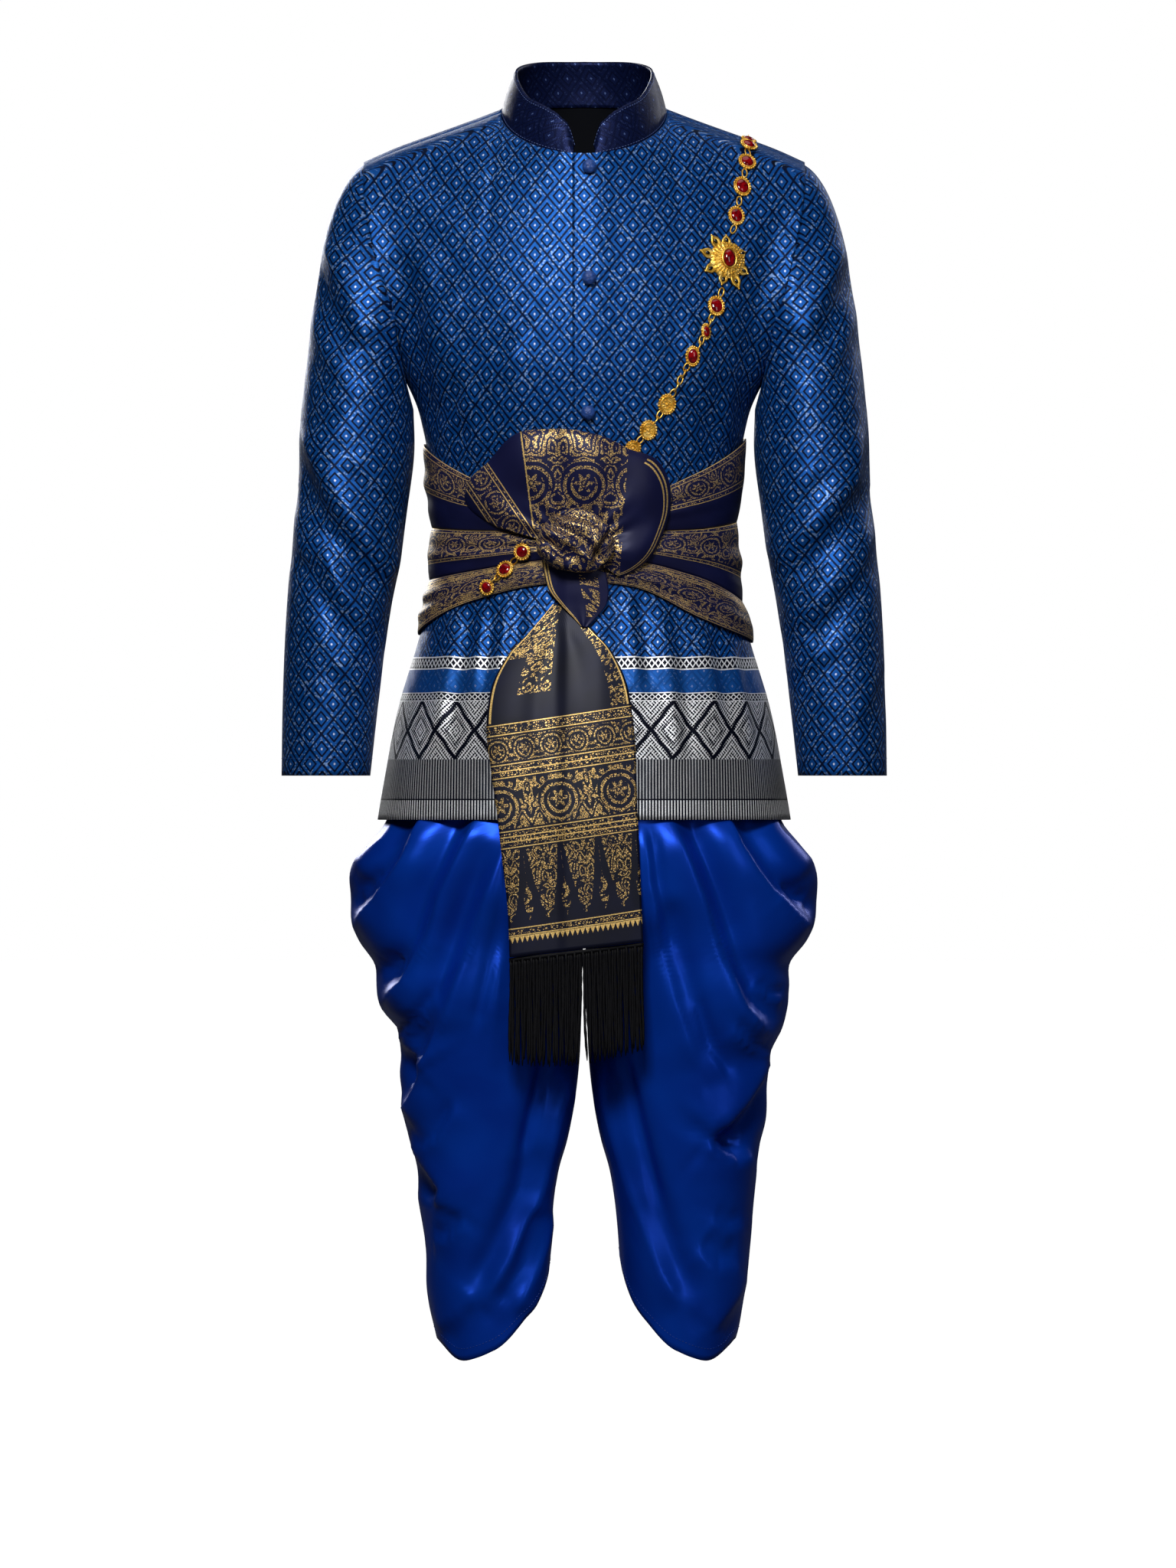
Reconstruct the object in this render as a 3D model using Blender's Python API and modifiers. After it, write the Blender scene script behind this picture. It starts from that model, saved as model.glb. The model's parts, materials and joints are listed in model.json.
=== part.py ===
"""A man's formal Thai outfit, worn but empty: jacket, wrapped trousers, sash and gold chain.

The tables are in millimetres and degrees, and the meshes are in metres. X runs towards the
wearer's left, the front faces -Y and Z is up, with the origin at the middle of the neck at the
height of the shoulders. Each cloth piece is a grid of outer points, given a wall inwards.
"""

import math

import bmesh
import bpy
import numpy as np
from mathutils import Matrix, Vector
from mathutils.bvhtree import BVHTree

MM = 0.001
WELD = 1e-6  # metres, closes a tube along its seam

# Walls of cloth and the room between pieces.
JACKET_WALL = 1.5
COLLAR_WALL = 2.6
SASH_WALL = 1.2
TROUSER_WALL = 1.5
SEAM = 0.6
COLLAR_RISE = 0.8  # the collar's foot over the neckline
COLLAR_END = 7.6  # degrees from the centre front
COLLAR_HALF = 70.6  # half the rim's width
COLLAR_REACH = (80, 76)  # the rim's reach to the front and to the back
COLLAR_BOW = 1.6
OVERLAP_RISE = 2.3  # the buttoned front over the one beneath it
WAIST_ROOM = 1.6  # the trousers' waist inside the jacket

# The jacket.
UNDERARM_Z = -262
SIDE_SEAM = 88  # degrees from the centre front
NECK_SHARE = 0.38  # of a panel's width at the chest that ends in the neckline
NECK_HALF = 84.9
NECK_Y = -8
NECK_FRONT = 89
NECK_BACK = 83
NECK_SIDE_Z = 5
NECK_FRONT_DROP = 44.5
NECK_BACK_RISE = 9
SQUARENESS = 0.9  # under 1 makes a section fuller than an ellipse
OVERLAP_SHARE = -0.042  # where the buttoned front's edge lies, left of centre
UNDERLAP_SHARE = 0.03
RIDGE_RISE = 6  # the back panel's roll over the shoulder, above the seam

# The sash hangs from a knot that is left of the centre.
KNOT = (-9, -437)
KNOT_SIZE = (39, 15.5, 31)
KNOT_SINK = 2.8  # its round back nests into the flap
KNOT_GROOVES = 5
KNOT_GROOVE_DEPTH = 0.07
KNOT_TWIST = 2.2  # how far the grooves turn towards the ends
KNOT_FACE = 1.1  # the most that the knot's face stands out, of its depth
KNOT_BACK = 0.9
LOOP_CENTRE = (-8, -445)
SASH_EDGE = 2.9  # an edge of a wrap, outside the jacket
SASH_BULGE = 2.6
TAIL_STANDS = 2.8  # the tail, outside the jacket
TAIL_DRIFT = 0.03  # how far the hanging tail comes forward for each mm down
STRANDS = 52
STRAND_SHARE = 0.52  # of the pitch
STRAND_DEPTH = 1
STRIP = 3.5
TIP_Z = -966  # the first strand's tip
TIP_SAG = 8
TIP_RISE = 15  # from the first strand to the last
TIP_WAVER = 2.2

# The trousers.
WAIST_TOP = -428
WAIST_LOW = -464
CROTCH_Z = -915
SPREAD_Z = -790  # the halves start to close into legs here
CENTRE_GAP = 0.3


def table(names, *rows):
    """Rows of numbers as one array for each named column."""
    return dict(zip(names.split(), np.array(rows, float).T))


NECK_LINES = np.array([0.04, 0.1, 0.17, 0.24, 0.31, NECK_SHARE])
BACK_NECK_LINES = np.array([0.26, 0.13, 0])
SIDE_LINES = np.array([0.5, 0.62, 0.74, 0.87, 1])
BACK_SIDE_LINES = np.array([0.54, 0.7, 0.86])
UPPER_ROWS = np.array([0, 0.06, 0.14, 0.26, 0.38, 0.5, 0.64, 0.8, 0.9, 1])
LOWER_ROWS = np.array([-720, -690, -650, -605, -560, -515, -470, -425, -380, -335, -298, -262])

TORSO = table(
    "z half front back",
    (-720, 211, 154, 148),
    (-683, 205, 150.5, 144),
    (-603, 190, 140, 132),
    (-540, 171, 126, 116),
    (-500, 160, 117, 105),
    (-470, 155, 113, 100),
    (-440, 153, 112, 98),
    (-400, 154.5, 114, 98),
    (-360, 158, 118.5, 99.5),
    (-318, 166, 124, 104),
    (-298, 171.5, 126, 107),
    (-280, 179, 127, 110),
    (-262, 188, 128, 112),
)
SHOULDER = table(
    "x z", (84.9, 5), (107, -3.5), (141.5, -16), (160, -22.5), (201.6, -38), (226, -49)
)
ARMHOLE = table(
    "part x z front back back_z",
    (0, 188, -262, -6, -6, -262),
    (0.06, 188.5, -249, -33, 28, -249),
    (0.14, 194.5, -216, -50, 50, -216),
    (0.26, 206, -178, -60, 62, -178),
    (0.38, 215.2, -142, -58, 62, -142),
    (0.5, 221.3, -111, -49, 55, -111),
    (0.64, 225.5, -82, -36, 43, -76),
    (0.8, 226.5, -59.6, -21, 22, -50),
    (0.9, 226.3, -53, -13.5, 7, -45.5),
    (1, 226, -49, -7, -6, -49),
)
# Where a line of the sleeve's cap leaves the armhole and how it enters the upper arm.
CAP = table(
    "share out_x out_z in_x in_z",
    (0, -12, -38, -8, -40),
    (0.5, 35, -120, 8, -145),
    (1, 150, -60, 30, -250),
)
SLEEVE = table(
    "z outer inner depth middle",
    (-675, 310, 219, 46, -30),
    (-603, 309, 211, 49, -26),
    (-523, 306, 201, 53, -21),
    (-470, 302.5, 192, 57, -17),
    (-402, 296, 181.5, 61, -12),
    (-340, 293, 174, 66, -6),
    (-300, 290, 175, 68, -3),
)
COLLAR_RIM = table(
    "angle z",
    (7.6, -31),
    (10.9, -16.3),
    (19.6, -2),
    (32.6, 8.4),
    (54.5, 19.5),
    (75, 36),
    (90, 46),
    (110, 53),
    (135, 58),
    (180, 59.8),
)
BUTTONS = table("x z size", (5, -54.6, 14.5), (5, -168, 14.5), (4, -304.7, 14.5))

# The edges of the three wraps, from the top one's upper edge down.
WRAPS = table(
    "angle top second third bottom",
    (-180, -336, -419, -477, -533),
    (-120, -336, -420, -476, -531),
    (-90, -336, -421, -475, -529),
    (-45, -372, -425, -465, -497),
    (-20, -396, -426, -456, -482),
    (0, -402, -428, -453, -478),
    (20, -392, -426, -456, -484),
    (45, -367, -424, -470, -514),
    (90, -330, -415, -497, -538),
    (120, -332, -416, -490, -537),
    (180, -336, -419, -477, -533),
)
# The loop is a fan round the knot: its rim by angle, and how far it stands out along it.
LOOP_RIM = table(
    "angle radius",
    (-32, 51),
    (-22, 60),
    (-4, 77),
    (13, 92),
    (25, 106),
    (40, 120),
    (48, 123),
    (62, 116),
    (74, 118),
    (91, 122),
    (105, 127),
    (116, 133),
    (135, 127),
    (150, 129),
    (159, 115),
    (164, 82),
)
LOOP_FORM = table(
    "share stands",
    (0.16, 11.5),
    (0.36, 17),
    (0.58, 22),
    (0.8, 22),
    (0.94, 18),
    (1, 13),
    (0.99, 9.6),
    (0.95, 7.8),
)
LOOP_PLEAT = 2.2
FLAP = table(
    "left left_z right right_z stands",
    (-44, -447, 22, -468, 14),
    (-41, -468, 24, -478, 13.5),
    (-36, -486, 25, -489, 11.5),
    (-24, -501, 22, -502, 8.5),
    (-11, -514, 13, -513, 6.2),
    (-3, -523, 3, -524, 4.9),
)
TAIL = table(
    "left left_z right right_z",
    (-32, -500, -8, -500),
    (-46, -517, -2, -516),
    (-60, -533, 10, -529),
    (-77, -551, 27, -547),
    (-94, -583, 43, -580),
    (-99.6, -624, 50, -621),
    (-96, -662, 52.5, -655),
    (-89, -712, 54, -703),
    (-84, -757, 56, -748),
    (-78, -810, 58, -797),
    (-76, -860, 60, -844),
)

# Each leg's outline from the front, and its depth.
LEG_LEFT = table(
    "z outer",
    (-1273, 148),
    (-1238, 159.5),
    (-1201, 165),
    (-1158, 170),
    (-1105, 174),
    (-1060, 178.5),
    (-1022, 187.5),
    (-987, 190),
    (-958, 188),
    (-936, 202),
    (-915, 208),
    (-890, 210),
    (-866, 211),
    (-845, 227),
    (-822, 237),
    (-795, 239),
    (-768, 236),
    (-745, 221),
    (-722, 203.7),
    (-700, 199.5),
    (-600, 178.5),
    (-540, 164),
    (-465, 150.5),
)
LEG_RIGHT = table(
    "z outer",
    (-1273, 146),
    (-1240, 153.5),
    (-1201, 161),
    (-1161, 162),
    (-1105, 171),
    (-1062, 175),
    (-1022, 185),
    (-987, 191),
    (-958, 190.5),
    (-936, 189.5),
    (-915, 206.5),
    (-890, 214),
    (-866, 216),
    (-845, 230),
    (-822, 239),
    (-795, 240.5),
    (-768, 238),
    (-745, 222),
    (-722, 204),
    (-700, 199.5),
    (-600, 178.5),
    (-540, 164),
    (-465, 150.5),
)
LEG_INNER = table(
    "z inner",
    (-1273, 37),
    (-1167, 36),
    (-1109, 31),
    (-1077, 26),
    (-1046, 17),
    (-1004, 9),
    (-975, 5.5),
    (-915, 2.5),
)
LEG_DEPTH = table(
    "z front back middle half",
    (-1273, 148, 148, -28, 62),
    (-1200, 148, 148, -28, 68),
    (-1100, 148, 148, -28, 78),
    (-1000, 148, 148, -26, 92),
    (-915, 147, 148, -22, 107),
    (-850, 146, 148, -15, 125),
    (-800, 148, 149, -10, 140),
    (-760, 148, 146, -8, 145),
    (-720, 147, 140, -4, 143),
    (-683, 143.5, 136, -4, 140),
    (-600, 130, 122, -4, 126),
    (-540, 118, 108, -4, 113),
    (-465, 108.5, 95, -4, 102),
)
LEG_HEM = table(
    "cosine z",
    (-1, -1252),
    (-0.5, -1272),
    (-0.08, -1266),
    (0.45, -1240),
    (0.85, -1200),
    (1, -1165),
)
LEG_UPPER = np.array(
    [-890, -866, -845, -822, -795, -768, -745, -722, -700, -620, -540, WAIST_LOW - SEAM]
)
LEG_LOWER = np.array([0, 0.06, 0.12, 0.2, 0.3, 0.41, 0.53, 0.66, 0.8, 0.91, 1])

# Folds: how high and how wide a crest is, and where it runs on the front.
FOLDS_LEFT = (
    (5, 13, ((187, -712), (197, -733), (212, -747), (224, -757), (236, -768))),
    (7, 14, ((140, -710), (155, -747), (171, -771), (187, -792), (215, -820), (234, -832))),
    (8, 15, ((84, -716), (105, -764), (119, -799), (141, -866), (161, -912), (188, -941))),
    (4, 14, ((70, -800), (77, -852), (91, -905), (115, -975))),
    (7, 13, ((204, -944), (178, -980), (161, -1008), (143, -1030), (128, -1046))),
    (5, 12, ((120, -1050), (143, -1064), (154, -1070), (172, -1061))),
    (5, 13, ((110, -1160), (135, -1180), (160, -1176))),
    (4, 12, ((170, -1186), (145, -1221), (130, -1240))),
    (5, 15, ((14, -975), (27, -1023), (40, -1070), (55, -1117), (77, -1180), (98, -1220))),
)
FOLDS_RIGHT = (
    (5, 13, ((-187, -712), (-204, -741), (-220, -755), (-238, -768))),
    (7, 14, ((-158, -712), (-169, -739), (-180, -763), (-208, -802), (-238, -833))),
    (8, 15, ((-104, -714), (-119, -746), (-143, -797), (-158, -843), (-180, -887), (-206, -909))),
    (7, 14, ((-78, -745), (-106, -821), (-128, -884), (-151, -954), (-174, -1008), (-188, -1020))),
    (6, 11, ((-192, -934), (-170, -964), (-162, -976))),
    (6, 13, ((-178, -1042), (-159, -1072), (-142, -1098), (-150, -1116))),
    (4, 14, ((-152, -1240), (-130, -1224), (-112, -1204))),
    (5, 15, ((-12, -975), (-28, -1023), (-45, -1102), (-77, -1171), (-102, -1212))),
    (4, 12, ((-34, -1120), (-51, -1180), (-72, -1224))),
)
SLEEVE_FOLDS_LEFT = (
    (4.5, 15, ((281, -318), (274, -372), (246, -408), (212, -444), (198, -462))),
    (3, 13, ((262, -470), (240, -500), (212, -520))),
    (3.5, 15, ((266, -130), (244, -180), (222, -232))),
)
SLEEVE_FOLDS_RIGHT = (
    (5, 15, ((-286, -318), (-272, -355), (-254, -394), (-215, -449), (-193, -476))),
    (3, 13, ((-268, -440), (-250, -482), (-216, -530))),
    (3.5, 15, ((-264, -124), (-246, -176), (-220, -236))),
)

# The chain's pieces: place from the front, width, height, the ray's tilt down, and a stone or not.
UPPER_CHAIN = table(
    "x z wide high tilt seat stone",
    (167.6, -38, 15, 14, 40, 3, 1),
    (166, -54, 17.6, 16, 14, 2, 1),
    (161, -77, 17.6, 18.5, 5, 1.4, 1),
    (155, -102, 16.5, 18, 0, 1.2, 1),
)
MIDDLE_CHAIN = table(
    "x z wide high tilt seat stone",
    (134.3, -196, 16.5, 18.5, 0, 1.2, 1),
    (123.3, -222, 11, 14, 0, 1.2, 1),
    (110.5, -246, 14, 18, 0, 1.2, 1),
    (100.5, -267, 8, 10, 0, 1.2, 0),
    (91.5, -281, 8, 10, 0, 1.2, 0),
    (83, -297, 16.5, 18, 0, 1.2, 0),
    (65.5, -322, 16, 17.5, 0, 1.2, 0),
)
LOWER_CHAIN = table(
    "x z wide high tilt seat stone",
    (-63, -447, 15, 15, 0, 1.2, 1),
    (-80.2, -465, 15.5, 15.5, 0, 1.2, 1),
    (-97, -482, 14, 14, 0, 1.2, 1),
)
BACK_CHAIN = table(
    "x y z tilt",
    (167.6, -10, -28, 80),
    (167.4, 3, -24, 85),
    (166.5, 14, -26, 75),
    (164, 30, -40, 50),
    (158, 60, -66, 15),
    (146, 60, -88, 0),
    (118, 60, -118, 0),
    (76, 60, -158, 0),
    (30, 60, -202, 0),
    (-16, 60, -246, 0),
    (-58, 60, -286, 0),
    (-92, 60, -319, 0),
)
BROOCH = (145.8, -148.5)
BROOCH_RAYS = table(
    "angle reach",
    (23, 22),
    (90, 26),
    (123, 31),
    (162, 32),
    (204, 29),
    (252, 27.5),
    (290, 32),
    (327, 26.5),
)
BROOCH_BODY = 17  # the reach of the hollows between its rays
BROOCH_PLATE = 2.2
BROOCH_BOSS = (28, 32, 4)
BROOCH_STONE = (13, 17.6)
BROOCH_SEAT = 0.9  # a flat back over cloth that curves away
MEDALLION = 3
CABLE = 2.2  # the back run's radius, with narrower places between its links
CABLE_NECK = 0.72
CABLE_LIFT = 3.2
RING = (3.6, 1)
STONE = 0.46  # of its medallion's width


def through(at, keys, values):
    """A smooth curve through the values at rising keys, level beyond its ends."""
    slope = np.gradient(values, keys)
    at = np.clip(at, keys[0], keys[-1])
    i = np.clip(np.searchsorted(keys, at, side="right") - 1, 0, len(keys) - 2)
    span = keys[i + 1] - keys[i]
    t = (at - keys[i]) / span
    start = (2 * t**3 - 3 * t**2 + 1) * values[i] + (t**3 - 2 * t**2 + t) * span * slope[i]
    end = (3 * t**2 - 2 * t**3) * values[i + 1] + (t**3 - t**2) * span * slope[i + 1]
    return start + end


def ease(t):
    """A smooth step from 0 to 1."""
    t = np.clip(t, 0, 1)
    return t * t * (3 - 2 * t)


def fuller(value, power=SQUARENESS):
    """A sine or cosine with its sign kept and its curve made fuller."""
    return np.sign(value) * np.abs(value) ** power


def places(x, y, z):
    """Three arrays as one array of points."""
    return np.stack(np.broadcast_arrays(x, y, z), axis=-1).astype(float)


def normals(points):
    """The outward direction at each point of a grid whose rows go up."""
    along = np.gradient(points, axis=1)
    up = np.gradient(points, axis=0)
    found = np.cross(along, up)
    return found / np.maximum(np.linalg.norm(found, axis=-1, keepdims=True), 1e-9)


def clear_scene():
    for thing in list(bpy.data.objects):
        bpy.data.objects.remove(thing, do_unlink=True)


def collection(name, hidden=False):
    made = bpy.data.collections.new(name)
    made.hide_render = hidden
    bpy.context.scene.collection.children.link(made)
    return made


def finish(name, colour, roughness, metallic=0.0):
    """A plain material with the piece's colour from the photograph, as linear RGB."""
    made = bpy.data.materials.new(name)
    made.use_nodes = True
    shader = made.node_tree.nodes["Principled BSDF"]
    shader.inputs["Base Color"].default_value = (*colour, 1)
    shader.inputs["Roughness"].default_value = roughness
    shader.inputs["Metallic"].default_value = metallic
    return made


def add_object(name, mesh, colour):
    mesh.materials.append(colour)
    mesh.shade_smooth()
    made = bpy.data.objects.new(name, mesh)
    OUTFIT.objects.link(made)
    return made


def grid_mesh(name, points):
    """A grid bent so that its vertices lie on the points, closed wherever its sides meet."""
    rows, columns = points.shape[:2]
    grid = bmesh.new()
    bmesh.ops.create_grid(grid, x_segments=columns - 1, y_segments=rows - 1, size=1)
    for vertex, place in zip(grid.verts, points.reshape(-1, 3)):
        vertex.co = place * MM
    bmesh.ops.remove_doubles(grid, verts=grid.verts, dist=WELD)
    mesh = bpy.data.meshes.new(name)
    grid.to_mesh(mesh)
    grid.free()
    return mesh


def cloth(name, points, wall, colour):
    """A cloth piece: the outer points with a wall inside them."""
    made = add_object(name, grid_mesh(name, points), colour)
    thick = made.modifiers.new("wall", "SOLIDIFY")
    thick.thickness = wall * MM
    thick.offset = -1
    return made


def folded(points, folds, middle=0.0):
    """Raises the folds' crests, and sinks a trough under each, on the front and the back."""
    x, y, z = np.moveaxis(points, -1, 0)
    lift = np.zeros(x.shape)
    for height, width, crest in folds:
        line = np.array(crest, float)
        near = np.full(x.shape, np.inf)
        under = np.zeros(x.shape)
        place = np.zeros(x.shape)
        for i, (start, end) in enumerate(zip(line[:-1], line[1:])):
            step = end - start
            t = ((x - start[0]) * step[0] + (z - start[1]) * step[1]) / (step @ step)
            t = np.clip(t, 0, 1)
            across = x - start[0] - t * step[0]
            down = z - start[1] - t * step[1]
            far = np.hypot(across, down)
            closer = far < near
            near = np.where(closer, far, near)
            under = np.where(closer, down < 0, under)
            place = np.where(closer, (i + t) / (len(line) - 1), place)
        taper = ease(place * 5 + 0.25) * ease((1 - place) * 5 + 0.25)
        ridge = np.exp(-((near / width) ** 2))
        trough = under * np.exp(-(((near - 1.7 * width) / width) ** 2))
        lift += height * taper * (ridge - 0.45 * trough)
    lift *= np.where(y > middle, 0.7, 1)
    return points + normals(points) * lift[..., None]


def torso(angle, z, out=0.0):
    """The jacket's outside at an angle from the centre front, moved out."""
    turn = np.radians(angle)
    half = through(z, TORSO["z"], TORSO["half"]) + out
    front = through(z, TORSO["z"], TORSO["front"]) + out
    back = through(z, TORSO["z"], TORSO["back"]) + out
    y = -fuller(np.cos(turn)) * np.where(np.cos(turn) > 0, front, back)
    return places(half * np.sin(turn), y, z)


def torso_front(x, z, out=0.0):
    """The y of the jacket's front at a place seen from the front."""
    half = through(z, TORSO["z"], TORSO["half"]) + out
    front = through(z, TORSO["z"], TORSO["front"]) + out
    return -front * np.sqrt(1 - np.clip(np.abs(x) / half, 0, 0.98) ** 2) ** SQUARENESS


def lap(x):
    """How far the buttoned front's lap raises what lies over it, at a place seen from the front."""
    return OVERLAP_RISE * ease((x + 30) / 14) * (1 - ease((x - 14) / 28))


def neck_angle(share):
    """The angle round the neck where a panel's line ends, so that the centre lines stay upright."""
    slope = TORSO["half"][-1] * math.radians(SIDE_SEAM) / NECK_HALF
    rest = math.pi / 2 - slope * NECK_SHARE
    return slope * share + rest * (share / NECK_SHARE) ** 3


def neckline(angle, back=False):
    """The seam where the collar is set in, by angle round the neck from the front."""
    reach = NECK_BACK if back else NECK_FRONT
    drop = NECK_BACK_RISE if back else NECK_FRONT_DROP
    y = NECK_Y - reach * np.cos(angle)
    return places(NECK_HALF * np.sin(angle), y, NECK_SIDE_Z - drop * np.cos(angle))


def top_edge(share, back=False):
    """A panel's upper edge: the neckline, and then the shoulder seam."""
    angle = neck_angle(np.clip(share, -1, NECK_SHARE))
    neck = neckline(math.pi - angle if back else angle, back)
    along = np.clip((share - NECK_SHARE) / (1 - NECK_SHARE), 0, 1)
    x = SHOULDER["x"][0] + (SHOULDER["x"][-1] - SHOULDER["x"][0]) * along
    y = NECK_Y + along + (SEAM if back else 0)
    seam = places(x, y, through(x, SHOULDER["x"], SHOULDER["z"]))
    return np.where((share > NECK_SHARE)[..., None], seam, neck)


def armhole(part, back=False):
    """The seam where a sleeve is set in, from the underarm up to the shoulder."""
    y = through(part, ARMHOLE["part"], ARMHOLE["back" if back else "front"])
    z = through(part, ARMHOLE["part"], ARMHOLE["back_z" if back else "z"])
    return places(through(part, ARMHOLE["part"], ARMHOLE["x"]), y, z)


def upper_body(share, part, back=False):
    """A panel above the underarm: arches from the chest to its upper edge, led into the armhole."""
    turn = 180 - share * (180 - SIDE_SEAM) if back else share * SIDE_SEAM
    low = torso(turn, np.full(share.shape, UNDERARM_Z))
    high = top_edge(share, back)
    phi = part * math.pi / 2
    power = 2 - 1.1 * ease(share / 0.45)
    fall = np.maximum(np.cos(phi), 0) ** power
    x = low[..., 0] + (high[..., 0] - low[..., 0]) * ease(part)
    y = high[..., 1] + (low[..., 1] - high[..., 1]) * fall
    z = low[..., 2] + (high[..., 2] - low[..., 2]) * np.sin(phi)
    if back:
        z = z + RIDGE_RISE * np.sin(math.pi * part**6) * ease(share / NECK_SHARE)
    return places(x, y, z)


def body_panel(shares, back=False):
    """Half of the jacket's front or back, from the hem to the neckline and the shoulder."""
    turn = 180 - shares * (180 - SIDE_SEAM) if back else shares * SIDE_SEAM
    flute = ease((-600 - LOWER_ROWS) / 120)[:, None]
    wave = 1.4 * (1 + np.sin(np.radians(turn * 7.3 + 40))) * ease((np.abs(turn) - 38) / 20)
    skirt = torso(turn[None], LOWER_ROWS[:, None] + np.zeros(len(shares)), flute * wave)
    share, part = np.meshgrid(shares, UPPER_ROWS)
    chest = upper_body(share, part, back)
    seam = armhole(part, back) - upper_body(np.ones(share.shape), part, back)
    chest = chest + seam * (np.clip(share, 0, 1) ** 4)[..., None]
    return np.concatenate([skirt[:-1], chest])


def mirrored(points):
    """The other side's grid, turned so that it still faces out."""
    return (points * (-1, 1, 1))[:, ::-1]


def front_shares(first):
    """Lines across a front, from its centre edge to the side seam."""
    return np.concatenate([[first], NECK_LINES, SIDE_LINES])


def add_fronts(navy):
    """Two fronts: the wearer's left laps over the right one."""
    over = body_panel(front_shares(OVERLAP_SHARE))
    rise = OVERLAP_RISE * (1 - ease((over[..., 0] - 10) / 28))
    over[..., 1] -= rise
    cloth("jacket_front_left", over, JACKET_WALL, navy)
    under = body_panel(front_shares(-UNDERLAP_SHARE))
    cloth("jacket_front_right", mirrored(under), JACKET_WALL, navy)


def add_back(navy):
    """One back, rolled forward over the shoulders to their seams."""
    seam = 1 - math.degrees(SEAM / TORSO["half"][-1]) / SIDE_SEAM
    half = np.concatenate([BACK_NECK_LINES[::-1], [NECK_SHARE], BACK_SIDE_LINES, [seam]])
    left = body_panel(half, back=True)
    whole = np.concatenate([left[:, ::-1], mirrored(left)[:, -2::-1]], axis=1)
    cloth("jacket_back", whole, JACKET_WALL, navy)


def sleeve_points(side, folds):
    """A sleeve: its cap is lofted from the armhole to the upper arm, then rings go to the cuff."""
    part = np.concatenate([UPPER_ROWS, UPPER_ROWS[-2::-1]])
    back = np.arange(len(part)) >= len(UPPER_ROWS)
    start = np.where(back[:, None], armhole(part, True), armhole(part))
    turn = np.where(back, math.pi * (1 + part), math.pi * (1 - part))
    share = (1 + np.cos(turn)) / 2
    leave = places(
        through(share, CAP["share"], CAP["out_x"]),
        -24 * np.sin(turn),
        through(share, CAP["share"], CAP["out_z"]),
    )
    enter = places(
        through(share, CAP["share"], CAP["in_x"]),
        -8 * np.sin(turn),
        through(share, CAP["share"], CAP["in_z"]),
    )
    start = start + leave / np.linalg.norm(leave, axis=-1, keepdims=True) * SEAM + (SEAM, 0, 0)
    rings = sleeve_ring(np.array([-675, -622, -570, -520, -472, -428, -385, -342, -300]), turn)
    t = np.array([0.85, 0.68, 0.5, 0.33, 0.18, 0.07, 0])[:, None, None]
    cap = (2 * t**3 - 3 * t**2 + 1) * start + (t**3 - 2 * t**2 + t) * leave
    cap = cap + (3 * t**2 - 2 * t**3) * rings[-1] + (t**3 - t**2) * enter
    points = np.concatenate([rings, cap])
    if side < 0:
        points = mirrored(points)
    return folded(points, folds, -10)


def sleeve_ring(z, turn):
    """Level sections of the sleeve below its cap."""
    z = z[:, None]
    outer = through(z, SLEEVE["z"], SLEEVE["outer"])
    inner = through(z, SLEEVE["z"], SLEEVE["inner"])
    x = (outer + inner) / 2 + (outer - inner) / 2 * np.cos(turn)
    depth = through(z, SLEEVE["z"], SLEEVE["depth"])
    y = through(z, SLEEVE["z"], SLEEVE["middle"]) - depth * np.sin(turn)
    return places(x, y, z)


def add_sleeves(navy):
    left = sleeve_points(1, SLEEVE_FOLDS_LEFT)
    cloth("jacket_sleeve_left", left, JACKET_WALL, navy)
    right = sleeve_points(-1, SLEEVE_FOLDS_RIGHT)
    cloth("jacket_sleeve_right", right, JACKET_WALL, navy)


def add_collar(dark):
    """A stand collar with rounded front corners, leaning in."""
    front = neck_angle(NECK_LINES)
    half = np.concatenate([np.radians([COLLAR_END, 12]), front[1:], math.pi - neck_angle(BACK_NECK_LINES)])
    angle = np.concatenate([-half, half[-2::-1]])
    whole = np.abs(angle)
    back = whole > math.pi / 2
    foot = np.where(back[:, None], neckline(whole, True), neckline(whole))
    rim_z = through(np.degrees(whole), COLLAR_RIM["angle"], COLLAR_RIM["z"])
    rim_y = NECK_Y - np.where(back, COLLAR_REACH[1], COLLAR_REACH[0]) * np.cos(whole)
    rim = places(COLLAR_HALF * np.sin(whole), rim_y, rim_z)
    share = np.array([0, 0.35, 0.7, 1])[:, None, None]
    points = foot + (rim - foot) * share
    points = points + (0, 0, COLLAR_RISE) * (1 - share)
    bow = COLLAR_BOW * np.sin(math.pi * share)
    points = points - places(-np.sin(whole), np.cos(whole), 0 * whole) * bow * (1, 1, 0)
    points[..., 0] *= np.where(angle < 0, 1, -1)
    cloth("jacket_collar", points, COLLAR_WALL, dark)


def add_wraps(satin):
    """Three turns of the sash round the waist, each a little full between its edges."""
    angle = np.linspace(-180, 180, 37)
    share = np.array([0, 0.3, 0.7, 1])[:, None]
    names = ("upper", "middle", "lower")
    edges = ("top", "second", "third", "bottom")
    for name, high, low in zip(names, edges[:-1], edges[1:]):
        top = through(angle, WRAPS["angle"], WRAPS[high]) - SEAM / 2
        bottom = through(angle, WRAPS["angle"], WRAPS[low]) + SEAM / 2
        z = bottom + (top - bottom) * share
        out = SASH_EDGE + SASH_BULGE * np.sin(math.pi * share) ** 0.7
        turn = angle + 0 * z
        flat = torso(turn, z)
        out = out + np.where(flat[..., 1] < 0, lap(flat[..., 0]), 0)
        cloth("sash_wrap_" + name, torso(turn, z, out), SASH_WALL, satin)


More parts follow.
